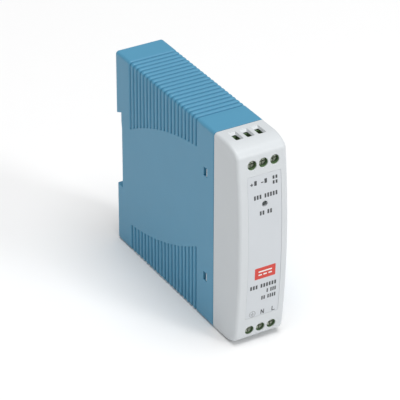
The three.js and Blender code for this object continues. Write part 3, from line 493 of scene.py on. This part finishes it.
def case_interior():
    """The cavity behind the cover, less the pocket wall that holds the latch spring."""
    half = HALF_W - WALL
    room = brick(
        "room", -half, half, JOINT_Y - 2, CAVITY_REAR_Y, END_WALL, HEIGHT - END_WALL
    )
    reach = POCKET_HALF + POCKET_WALL
    pocket = brick(
        "pocket_wall", -reach, reach, POCKET_FRONT_Y - POCKET_WALL, CAVITY_REAR_Y + 1,
        POCKET_LOW_Z - POCKET_WALL, POCKET_HIGH_Z + POCKET_WALL,
    )
    return boolean(room, pocket)


def rail_recess():
    run, rise = HOOK_RUN_OUT
    return [
        (RECESS_Y, LEDGE_Z), (RECESS_Y, PAD_LOW_Z), (PAD_Y, PAD_HIGH_Z), (PAD_Y, HOOK_ROOT_Z),
        (REAR_Y - HOOK_LIP_SETBACK, HOOK_TIP_Z), (REAR_Y, HOOK_TIP_Z + HOOK_LIP_RISE),
        (REAR_Y + run, HOOK_TIP_Z + rise), (REAR_Y + run, LEDGE_Z),
    ]


def housing():
    """The blue case: grooved skin, hollow, rail recess, latch channel and snap windows."""
    shell = boolean(housing_skin(), case_interior())
    boolean(shell, prism_x("recess", rail_recess(), -HALF_W - 2, HALF_W + 2))
    boolean(shell, brick(
        "slot", -CHANNEL_HALF, CHANNEL_HALF, RECESS_Y, REAR_Y + 2, -2, LEDGE_Z + 2
    ))
    boolean(shell, brick(
        "groove", -CHANNEL_GROOVE_HALF, CHANNEL_GROOVE_HALF,
        RECESS_Y - 0.01, CHANNEL_GROOVE_REAR_Y, -2, LEDGE_Z + 2.1,
    ))
    boolean(shell, brick(
        "pocket", -POCKET_HALF, POCKET_HALF, POCKET_FRONT_Y, RECESS_Y + 1,
        POCKET_LOW_Z, POCKET_HIGH_Z,
    ))
    y0, y1, tall = SNAP_WINDOW
    for z in (MID_Z - SNAP_OFFSET_Z, MID_Z + SNAP_OFFSET_Z):
        window = brick("window", -HALF_W - 1, HALF_W + 1, y0, y1, z - tall / 2, z + tall / 2)
        boolean(shell, window)
    bevel(shell, 0.15, 60)
    applied(shell)
    smooth(shell)
    return piece(shell, BLUE, "case", "housing_plastic", "housing")


# ---- cover ----

def bow_y(z):
    return FRONT_Y + (z - MID_Z) ** 2 / (2 * BOW_R)


def brow_z(y):
    return HEIGHT - max(0.0, FLAT_Y - y) ** 2 / (2 * BROW_R)


def cover_outline():
    """Side outline from the top of the joint, round the front, to the base of the joint."""
    upper = [(JOINT_Y, HEIGHT), (JOINT_Y - 0.2, HEIGHT), (FLAT_Y + 2, HEIGHT), (FLAT_Y, HEIGHT)]
    steps = 8
    for k in range(1, steps):
        y = FLAT_Y + (BROW_Y - FLAT_Y) * k / steps
        upper.append((y, brow_z(y)))
    start = Vector((BROW_Y, brow_z(BROW_Y)))
    end = Vector((bow_y(CORNER_Z), CORNER_Z))
    meet_y = bow_y(start.y)
    middle = Vector((meet_y, brow_z(meet_y)))
    steps = 14
    for k in range(steps + 1):
        t = k / steps
        p = start * (1 - t) ** 2 + middle * 2 * t * (1 - t) + end * t**2
        upper.append((p.x, p.y))
    steps = 14
    for k in range(1, steps + 1):
        z = CORNER_Z + (MID_Z - CORNER_Z) * k / steps
        upper.append((bow_y(z), z))
    return upper + [(y, HEIGHT - z) for y, z in reversed(upper[:-1])]


def outline_normals(outline):
    normals = []
    for i in range(len(outline)):
        a = Vector(outline[max(i - 1, 0)])
        b = Vector(outline[min(i + 1, len(outline) - 1)])
        along = (b - a).normalized()
        normals.append(Vector((along.y, -along.x)))
    return normals


def inset_outline(outline, inset):
    normals = outline_normals(outline)
    return [(p[0] - n.x * inset, p[1] - n.y * inset) for p, n in zip(outline, normals)]


def cover_solid():
    """The outline run across the width, with every edge round except at the joint."""
    outline = cover_outline()
    rings = []
    steps = 7
    for side in (-1, 1):
        group = []
        for k in range(steps + 1):
            a = math.radians(90 * k / steps)
            x = HALF_W - COVER_R + COVER_R * math.sin(a)
            inset = COVER_R * (1 - math.cos(a))
            group.append([(side * x, y, z) for y, z in inset_outline(outline, inset)])
        rings += reversed(group) if side < 0 else group
    return loft("cover_shell", rings)


def cover_room():
    half = HALF_W - COVER_WALL
    outline = inset_outline(cover_outline(), COVER_WALL)
    outline[0] = (JOINT_Y + 2, HEIGHT - COVER_WALL)
    outline[-1] = (JOINT_Y + 2, COVER_WALL)
    return prism_x("cover_room", outline, -half, half)


def bowed_disc(x, z, radius, depth, steps=40):
    """Points of a circle that lies at one depth below the bowed front."""
    ring = []
    for k in range(steps):
        a = math.tau * k / steps
        px = x + radius * math.cos(a)
        pz = z + radius * math.sin(a)
        ring.append((px, bow_y(pz) + depth, pz))
    return ring


def front_hole(x, z, radius):
    """A round cutter through the bowed front with a soft lip that follows the bow."""
    levels = [(-1.0, LIP), *round_lip(), (CUT_DEPTH, 0.0)]
    return loft("front_hole", [bowed_disc(x, z, radius + extra, d) for d, extra in levels])


def counterbore(x, z):
    """The pocket behind an access hole that a funnel of the terminal block sits in."""
    depths = (COUNTERBORE_DEPTH, CUT_DEPTH)
    return loft("counterbore", [bowed_disc(x, z, COUNTERBORE_R, d) for d in depths])


def round_lip(steps=5):
    """(depth, extra size) pairs round a quarter circle, from the surface down to the wall."""
    pairs = []
    for k in range(steps + 1):
        a = math.radians(90 * k / steps)
        pairs.append((LIP * (1 - math.cos(a)), LIP * (1 - math.sin(a))))
    return pairs


def wire_window(x, top):
    """A funnel cutter over a wire entry, at the top or mirrored at the base."""
    neck = WIRE_FUNNEL_DEPTH
    levels = [(-1.0, WIRE_WINDOW, LIP)] + [(d, WIRE_WINDOW, e) for d, e in round_lip()]
    levels += [(neck, WIRE_THROAT, 0.0), (neck + 0.06, WIRE_THROAT, 0.0)]
    levels += [(neck + 0.07, WIRE_POCKET, 0.0), (COVER_WALL + 2.5, WIRE_POCKET, 0.0)]
    rings = []
    for depth, (wide, y0, y1), extra in levels:
        half = wide / 2 + extra
        ring = []
        corner = WIRE_CORNER_R + extra
        for px, py in rounded_rect(x - half, x + half, y0 - extra, y1 + extra, corner):
            z = brow_z(py) - depth
            ring.append((px, py, z if top else HEIGHT - z))
        rings.append(ring)
    return loft("wire_window", rings)


def front_band(name, x0, x1, z0, z1, depth0, depth1, radius=0.5, steps=20):
    """A plate that follows the bowed front between two depths, with round corners."""
    corner = 4
    ends = []
    for k in range(corner + 1):
        a = math.radians(90 * k / corner)
        ends.append((radius * (1 - math.cos(a)), radius * (1 - math.sin(a))))
    levels = [(z0 + rise, inset) for rise, inset in ends]
    low = z0 + radius
    high = z1 - radius
    levels += [(low + (high - low) * k / steps, 0.0) for k in range(1, steps)]
    levels += [(z1 - rise, inset) for rise, inset in reversed(ends)]
    rings = []
    for z, inset in levels:
        front = bow_y(z) + depth0
        rear = bow_y(z) + depth1
        left = x0 + inset
        right = x1 - inset
        rings.append([(left, front, z), (right, front, z), (right, rear, z), (left, rear, z)])
    return loft(name, rings)


def tongue_parts():
    """Two tongues a side that slide into the case, each with a wedge-shaped lug in a window."""
    outer = TONGUE_INNER + TONGUE_THICK
    root = HALF_W - COVER_WALL + TONGUE_OVERLAP
    tip = HALF_W - LUG_SINK
    front = SNAP_WINDOW[0] + LUG_FRONT_GAP
    wedge = [
        (outer - TONGUE_OVERLAP, front), (tip, front), (tip, front + LUG_FLAT),
        (outer - TONGUE_OVERLAP, front + LUG_FLAT + LUG_RAMP),
    ]
    half = SNAP_WINDOW[2] / 2 - TONGUE_GAP
    parts = []
    for z in (MID_Z - SNAP_OFFSET_Z, MID_Z + SNAP_OFFSET_Z):
        z0 = z - TONGUE_HALF_HEIGHT
        z1 = z + TONGUE_HALF_HEIGHT
        for side in (-1, 1):
            for reach, rear in ((root, JOINT_Y - TONGUE_GAP), (outer, TONGUE_TIP_Y)):
                x0, x1 = sorted((side * TONGUE_INNER, side * reach))
                parts.append(brick("tongue", x0, x1, TONGUE_ROOT_Y, rear, z0, z1))
            lug = [[(side * x, y, z + h) for x, y in wedge] for h in (-half, half)]
            parts.append(loft("lug", lug))
    return parts


def cover():
    """The grey cover: a thin shell with its holes, label recess and snap tongues."""
    shell = boolean(cover_solid(), cover_room())
    for x, z in pole_places():
        boolean(shell, front_hole(x, z, ACCESS_R))
        boolean(shell, counterbore(x, z))
        boolean(shell, wire_window(x + WIRE_STEP, z > MID_Z))
    boolean(shell, front_hole(LED_X, LED_Z, LED_HOLE_R))
    boolean(shell, front_band("recess", *label_edges(-LABEL_SIDE), -1, LABEL_RECESS))
    for part in tongue_parts():
        boolean(shell, part, "UNION")
    smooth(shell, 32)
    return piece(shell, GREY, "case", "cover_plastic", "front_cover")


def pole_places():
    """(x, z) of each terminal screw."""
    places = []
    for pole in POLES:
        low, high = box_mm(f"screw_{pole}")
        places.append(((low.x + high.x) / 2, (low.z + high.z) / 2))
    return places


def label_edges(inset):
    return LABEL_LOW.x + inset, LABEL_HIGH.x - inset, LABEL_LOW.z + inset, LABEL_HIGH.z - inset


# ---- label ----

def label_plate():
    plate = front_band("label_film", *label_edges(0.0), LABEL_DEPTH, LABEL_DEPTH + LABEL_THICK)
    boolean(plate, front_hole(LED_X, LED_Z, LED_LABEL_HOLE_R - LIP))
    bevel(plate, 0.05, 60)
    smooth(plate)
    return piece(plate, LABEL, "case", "label_film", "label_plate")


def print_block(x, z, wide, tall):
    """One flat printed block centred at (x, z), a little proud of the label."""
    return front_band(
        "print", x - wide / 2, x + wide / 2, z - tall / 2, z + tall / 2,
        LABEL_DEPTH - PRINT_PROUD, LABEL_DEPTH + PRINT_SINK, PRINT_CORNER_R, 2,
    )


def print_stroke(a, b, wide):
    """A straight printed stroke between two (x, z) points."""
    start = Vector(a)
    end = Vector(b)
    side = (end - start).normalized().orthogonal() * wide / 2
    corners = [start - side, start + side, end + side, end - side]
    rings = []
    for depth in (LABEL_DEPTH - PRINT_PROUD, LABEL_DEPTH + PRINT_SINK):
        rings.append([(p.x, bow_y(p.y) + depth, p.y) for p in corners])
    return loft("print", rings)


def print_row(x0, x1, z, tall, groups):
    """A row of plain blocks that stands for a line of small print; groups are block counts."""
    gap = 1.6
    cells = sum(groups) + (len(groups) - 1) * gap / 2
    step = (x1 - x0) / cells
    blocks = []
    x = x0
    for count in groups:
        for _ in range(count):
            blocks.append(print_block(x + step / 2, z, step * 0.62, tall))
            x += step
        x += step * gap / 2
    return blocks


def joined(name, parts):
    bm = bmesh.new()
    for part in parts:
        bm.from_mesh(part.data)
        bpy.data.objects.remove(part)
    mesh = bpy.data.meshes.new(name)
    bm.to_mesh(mesh)
    bm.free()
    obj = bpy.data.objects.new(name, mesh)
    bpy.context.scene.collection.objects.link(obj)
    return obj


def ring_print(x, z, radius, wide, steps=24):
    strokes = []
    for k in range(steps):
        a0 = math.tau * k / steps
        a1 = math.tau * (k + 1.1) / steps
        start = (x + radius * math.cos(a0), z + radius * math.sin(a0))
        end = (x + radius * math.cos(a1), z + radius * math.sin(a1))
        strokes.append(print_stroke(start, end, wide))
    return strokes


def letter(x, z, *strokes):
    """A letter from (start, end, width) strokes whose ends are measured from (x, z)."""
    return [print_stroke((x + a, z + b), (x + c, z + d), wide) for (a, b), (c, d), wide in strokes]


def terminal_marks():
    """Plus, minus, N and L beside the terminals, and blocks for the rest of each tag."""
    upper = UPPER_MARKS_Z
    sign_z = upper - 0.3
    marks = [
        print_block(-5.2, sign_z, SIGN_SIZE, STROKE), print_block(-5.2, sign_z, STROKE, SIGN_SIZE),
        print_block(-3.5, upper, TAG_WIDE, TAG_TALL),
        print_block(-0.5, sign_z, TAG_WIDE, STROKE), print_block(1.1, upper, TAG_WIDE, TAG_TALL),
    ]
    for rise in (0.5, -1.6):
        marks += print_row(4.0, 6.6, upper + rise, 1.4, (2,))
    w = LETTER_HALF_WIDTH
    h = LETTER_HALF_HEIGHT
    foot = STROKE / 2 - h
    left = ((-w, -h), (-w, h), STROKE)
    right = ((w, -h), (w, h), STROKE)
    marks += letter(0.75, LOWER_MARKS_Z, left, ((-w, h), (w, -h), DIAGONAL_STROKE), right)
    marks += letter(5.9, LOWER_MARKS_Z, left, ((-w, foot), (w + 0.1, foot), STROKE))
    return marks


def earth_mark():
    """A ring round a stem that stands on three bars, each shorter than the last."""
    x = -3.9
    z = LOWER_MARKS_Z + 0.1
    marks = ring_print(x, z, 1.35, THIN_STROKE)
    marks.append(print_stroke((x, z + 0.95), (x, z), THIN_STROKE))
    for row, half in enumerate((0.85, 0.55, 0.25)):
        bar_z = z - row * 0.42
        marks.append(print_stroke((x - half, bar_z), (x + half, bar_z), THIN_STROKE))
    return marks


def label_print():
    """Plain blocks in place of the printed words, and generic terminal marks."""
    tall = 1.8
    right = 6.5
    parts = terminal_marks()
    parts += print_row(-4.6, 6.4, LED_Z + 3.5, tall, (3, 5))
    parts += print_row(-2.1, 3.8, LED_Z - 3.7, tall, (2, 2))
    for row, (left, groups) in enumerate(((-5.9, (3, 6)), (1.9, (1, 3)), (-0.4, (2, 4)))):
        parts += print_row(left, right, 27.2 - 3 * row, tall, groups)
    ink = joined("label_print", parts)
    piece(ink, INK, "case", "label_film")
    piece(joined("earth_mark", earth_mark()), GREY_INK, "case", "label_film")


def rating_badge():
    """A red block with a plain direct-current sign: one line over three dashes."""
    x0, x1, z0, z1 = BADGE
    front = LABEL_DEPTH - BADGE_PROUD
    badge = front_band("badge", x0, x1, z0, z1, front, LABEL_DEPTH + PRINT_SINK, 0.3, 6)
    piece(badge, RED, "case", "label_film")
    mid_x = (x0 + x1) / 2
    mid_z = (z0 + z1) / 2
    line = 0.6
    rise = 0.75
    signs = [print_block(mid_x, mid_z + rise, 6.2, line)]
    signs += [print_block(mid_x + k * 2.3, mid_z - rise, 1.6, line) for k in (-1, 0, 1)]
    sign = joined("badge_sign", signs)
    for vertex in sign.data.vertices:
        vertex.co.y -= BADGE_PROUD * MM
    piece(sign, WHITE_INK, "case", "label_film")


# ---- terminals ----

def turned(name, profile, x, z, steps=32):
    """A profile of (radius, y) points turned about an axis along Y."""
    rings = []
    for radius, y in profile:
        radius = max(radius, 0.002)
        ring = []
        for k in range(steps):
            a = math.tau * k / steps
            ring.append((x + radius * math.cos(a), y, z + radius * math.sin(a)))
        rings.append(ring)
    return loft(name, rings)


def row_brick(x, plan, z0, z1, top):
    """A brick at one pole from (half width, front, rear) and heights from mid height."""
    half, y0, y1 = plan
    sign = 1 if top else -1
    low, high = sorted((MID_Z + sign * z0, MID_Z + sign * z1))
    return brick("row_brick", x - half, x + half, y0, y1, low, high)


def screw_funnel(x, z):
    """The collar of the block that reaches forward round a screw head."""
    front = bowed_disc(x, z, SCREW_FUNNEL_R, SCREW_FUNNEL_DEPTH)
    rear = [(px, CHAMBER[1] + BLOCK_OVERLAP, pz) for px, _, pz in front]
    return loft("funnel", [front, rear])


def screw_bore(x, z):
    """A bore with a broken edge at its mouth and a shoulder behind the screw head."""
    rings = [bowed_disc(x, z, ACCESS_R + extra, depth) for depth, extra in BORE_MOUTH]
    rings.append([(px, SHOULDER_Y, pz) for px, _, pz in rings[-1]])
    narrow = bowed_disc(x, z, SHOULDER_R, 0.0)
    rings.append([(px, SHOULDER_Y + 0.01, pz) for px, _, pz in narrow])
    rings.append([(px, CHAMBER[1] + BLOCK_OVERLAP, pz) for px, _, pz in narrow])
    return loft("bore", rings)


def terminal_block(row, top):
    """Chambers for the cages, a chute over each wire entry and a collar round each screw."""
    low, high = box_mm(f"terminal_block_{row}")
    rear = high.y
    sign = 1 if top else -1
    side = [
        (rear, BLOCK_LOW), (rear, BLOCK_HIGH), (BLOCK_FRONT_Y + BLOCK_CHAMFER, BLOCK_HIGH),
        (BLOCK_FRONT_Y, BLOCK_HIGH - BLOCK_CHAMFER), (BLOCK_FRONT_Y, BLOCK_LOW),
    ]
    block = prism_x("terminal_body", [(y, MID_Z + sign * z) for y, z in side], low.x, high.x)
    poles = [(x, z) for x, z in pole_places() if (z > MID_Z) == top]
    for x, z in poles:
        boolean(block, row_brick(x + WIRE_STEP, CHUTE, BLOCK_HIGH - 0.2, CHUTE_TOP, top), "UNION")
        boolean(block, screw_funnel(x, z), "UNION")
    for x, z in poles:
        boolean(block, row_brick(x, CHAMBER, BLOCK_LOW - 1, CHAMBER_TOP, top))
        boolean(block, row_brick(x + WIRE_STEP, CHUTE_THROAT, CHAMBER_TOP - 1, CHUTE_TOP + 1, top))
        boolean(block, screw_bore(x, z))
        boolean(block, row_brick(x, TAIL_HOLE, TAIL_HOLE_LOW, TAIL_HOLE_HIGH, top))
    bevel(block, 0.08, 60)
    applied(block)
    smooth(block)
    block.name = f"terminal_body_{row}"
    return piece(block, GREEN, "case", "terminal_plastic", f"terminal_block_{row}")


def screw_head(x, z, front, rear, radius):
    """A head with a rounded rim, a cross slot and a small pit in its middle."""
    edge = HEAD_EDGE
    profile = [(radius - 0.3, rear + 0.12), (radius, rear - 0.02)]
    profile.append((radius, front + edge + 0.2))
    for k in range(1, 7):
        a = math.radians(90 * k / 6)
        profile.append((radius - edge * (1 - math.cos(a)), front + edge * (1 - math.sin(a))))
    profile.append((0.0, front))
    head = turned("head", profile, x, z, 40)
    depth = SLOT_DEPTH
    for wide, tall in ((SLOT_WIDE, SLOT_LONG), (SLOT_LONG, SLOT_WIDE)):
        boolean(head, brick(
            "slot", x - wide / 2, x + wide / 2, front - 1, front + depth, z - tall / 2, z + tall / 2
        ))
    cone = [(0.62, front - 0.5), (0.62, front), (0.3, front + depth), (0.0, front + depth + 0.1)]
    boolean(head, turned("pit", cone, x, z, 16))
    return head


def threaded_shank(x, z, front, rear, radius, steps=20, rows_per_turn=6):
    """A shank with a right-hand thread that fades out at its tip."""
    pitch = SCREW_PITCH
    rows = round((rear - front) / pitch * rows_per_turn)
    rings = []
    for i in range(rows + 1):
        y = front + (rear - front) * i / rows
        fade = 0.2 * (1 - min(1.0, (rear - y) / 0.4))
        ring = []
        for k in range(steps):
            share = (y / pitch - k / steps) % 1.0
            crest = 1 - abs(2 * share - 1)
            r = radius - THREAD_DEPTH * (1 - crest) - fade
            a = math.tau * k / steps
            ring.append((x + r * math.sin(a), y, z + r * math.cos(a)))
        rings.append(ring)
    return loft("shank", rings)


def terminal_screw(pole):
    low, high = box_mm(f"screw_{pole}")
    x = (low.x + high.x) / 2
    z = (low.z + high.z) / 2
    head_rear = low.y + SCREW_HEAD_LENGTH
    head = screw_head(x, z, low.y, head_rear, (high.x - low.x) / 2)
    shank = threaded_shank(x, z, head_rear - SCREW_ROOT, high.y, SCREW_SHANK_R)
    screw = joined(f"clamp_screw_{pole}", [applied(head), shank])
    smooth(screw, 40)
    return piece(screw, SCREW_WITH_PAINTED_REFLECTION, f"screw_{pole}", "screw_steel", f"screw_{pole}")


def status_led():
    """A domed lens on a flange."""
    front = LED_LOW.y
    rear = LED_HIGH.y
    shoulder = rear - FLANGE_THICK
    edge = 0.05
    profile = [(0.0, rear), (FLANGE_R - edge, rear), (FLANGE_R, rear - 0.06)]
    profile += [(FLANGE_R, shoulder + 0.06), (FLANGE_R - edge, shoulder)]
    profile += [(LENS_R + edge, shoulder - 0.02), (LENS_R, shoulder - 0.1)]
    for k in range(9):
        a = math.radians(90 * k / 8)
        profile.append((LENS_R * math.cos(a), front + LENS_R * (1 - math.sin(a))))
    led = turned("led_lens_body", profile, LED_X, LED_Z)
    smooth(led, 50)
    return piece(led, LENS, "case", "led_lens", "status_led")


# ---- latch spring ----

def latch_spring():
    """A compression spring with closed ends that the latch presses on as it slides down; the coil
    is built at one fixed length.
    """
    wire = SPRING_WIRE
    turns = SPRING_TURNS
    closed = SPRING_CLOSED_TURNS
    radius = (SPRING_HIGH.x - SPRING_LOW.x) / 2 - wire
    mid_y = (SPRING_LOW.y + SPRING_HIGH.y) / 2
    low = SPRING_LOW.z + wire
    high = SPRING_HIGH.z - wire
    steps = round(turns * 28)
    rings = []
    for i in range(steps + 1):
        done = turns * i / steps
        share = min(max((done - closed) / (turns - 2 * closed), 0.0), 1.0)
        laid = min(done, closed) + max(0.0, done - (turns - closed))
        z = low + wire * laid / closed + share * (high - low - 2 * wire)
        a = math.tau * done
        out = Vector((math.cos(a), math.sin(a), 0.0))
        centre = Vector((radius * out.x, mid_y + radius * out.y, z))
        ring = []
        for k in range(10):
            b = math.tau * k / 10
            p = centre + out * wire * math.cos(b) + Vector((0, 0, wire * math.sin(b)))
            ring.append(tuple(p))
        rings.append(ring)
    spring = loft("latch_coil", rings)
    smooth(spring, 60)
    piece(spring, CAGE, "case", "cage_steel", "latch_spring")
    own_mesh(spring)


# ---- pieces kept from the frame ----

def dress(node, mat, edge):
    """Gives a frame node its finish and softly broken edges."""
    obj = NODES[node]
    obj.data.materials.clear()
    obj.data.materials.append(mat)
    for polygon in obj.data.polygons:
        polygon.use_smooth = True
    weld = obj.modifiers.new("weld", "WELD")
    weld.merge_threshold = 0.002 * MM
    if edge:
        bevel(obj, edge, 50)
    weighted = obj.modifiers.new("normals", "WEIGHTED_NORMAL")
    weighted.keep_sharp = False


def inner_parts():
    """Finishes of the latch, the clamps, the boards and everything mounted on them."""
    dress("rail_latch", LATCH, 0.25)
    for pole in POLES:
        dress(f"cage_{pole}", CAGE, 0.15)
        dress(f"contact_{pole}", BRASS, 0.08)
    for board in ("front_board", "main_board"):
        dress(board, BOARD, 0.05)
    for header in ("header_upper", "header_lower"):
        dress(header, DARK, 0.08)
    dress("led_spacer", WHITE, 0.1)
    for can in ("bulk_capacitor", "smoothing_capacitor", "output_capacitor_upper",
                "output_capacitor_lower", "filter_capacitor"):
        dress(can, SLEEVE, 0.3)
    for block in ("bridge_rectifier", "switching_transistor", "output_diode", "controller_chip",
                  "fuse", "bleed_resistor", "transformer_bobbin"):
        dress(block, DARK, 0.12)
    dress("optocoupler", WHITE, 0.12)
    dress("inrush_thermistor", DARK_COAT, 0.4)
    dress("varistor", BLUE_COAT, 0.4)
    dress("y_capacitor", BLUE_COAT, 0.4)
    dress("x_capacitor", FILM, 0.3)
    dress("line_choke", COPPER, 0.2)
    dress("output_inductor", COPPER, 0.2)
    dress("transformer_core", FERRITE, 0.2)
    dress("transformer_winding", TAPE, 0.2)
    dress("transistor_heatsink", SINK, 0.1)


# ---- camera, floor and lights ----

CAMERA_AZIMUTH = -30.29
CAMERA_ELEVATION = 30.76
CAMERA_ROLL = 0.165
CAMERA_DISTANCE = 930.3
CAMERA_AIM = Vector((-11.47, -20.02, 54.68))
CAMERA_LENS = 211.6


def direction(azimuth, elevation):
    """From the object outwards; azimuth 0 is the front and 90 the right-hand side."""
    a = math.radians(azimuth)
    e = math.radians(elevation)
    return Vector((math.sin(a) * math.cos(e), -math.cos(a) * math.cos(e), math.sin(e)))


def camera():
    """A long lens, level but for a slight roll, aimed at the upper front of the case."""
    data = bpy.data.cameras.new("camera")
    data.lens = CAMERA_LENS
    data.sensor_width = 36
    data.clip_start = 0.01
    data.clip_end = 20
    obj = bpy.data.objects.new("camera", data)
    bpy.context.scene.collection.objects.link(obj)
    back = direction(CAMERA_AZIMUTH, CAMERA_ELEVATION)
    turn = (-back).to_track_quat("-Z", "Y").to_matrix().to_4x4()
    roll = Matrix.Rotation(math.radians(CAMERA_ROLL), 4, "Z")
    obj.matrix_world = Matrix.Translation((CAMERA_AIM + back * CAMERA_DISTANCE) * MM) @ turn @ roll
    bpy.context.scene.camera = obj


def floor():
    """A wide pale floor under the base."""
    wide = 6000
    obj = make("floor", [(-wide, -wide, 0), (wide, -wide, 0), (wide, wide, 0), (-wide, wide, 0)],
               [(0, 1, 2, 3)])
    paint(obj, material("pale_floor", (0.93, 0.93, 0.93), 0.8, grain=3, bump=0.0, mottle=0.004))


def soft_light(name, azimuth, elevation, distance, size, watts):
    """A round area light aimed at the middle of the case, distance and size in metres."""
    data = bpy.data.lights.new(name, "AREA")
    data.shape = "DISK"
    data.size = size
    data.energy = watts
    obj = bpy.data.objects.new(name, data)
    bpy.context.scene.collection.objects.link(obj)
    back = direction(azimuth, elevation)
    obj.location = Vector((0, 0, MID_Z * MM)) + back * distance
    obj.rotation_mode = "QUATERNION"
    obj.rotation_quaternion = (-back).to_track_quat("-Z", "Y")


def lights():
    """An overhead key, a low front light, a faint fill on the left and a dim even world."""
    soft_light("key", 8, 80, 3.0, 2.4, 74.0)
    soft_light("front", 24, 27, 2.5, 0.6, 17.0)
    soft_light("left", -95, 12, 1.4, 0.9, 0.9)
    world = bpy.data.worlds.new("studio")
    world.use_nodes = True
    background = world.node_tree.nodes["Background"]
    background.inputs["Color"].default_value = (1, 1, 1, 1)
    background.inputs["Strength"].default_value = 0.3
    bpy.context.scene.world = world
    bpy.context.scene.view_settings.view_transform = "Standard"


housing()
cover()
label_plate()
label_print()
rating_badge()
for pole in POLES:
    terminal_screw(pole)
terminal_block("dc", True)
terminal_block("ac", False)
status_led()
latch_spring()
inner_parts()
camera()
floor()
lights()
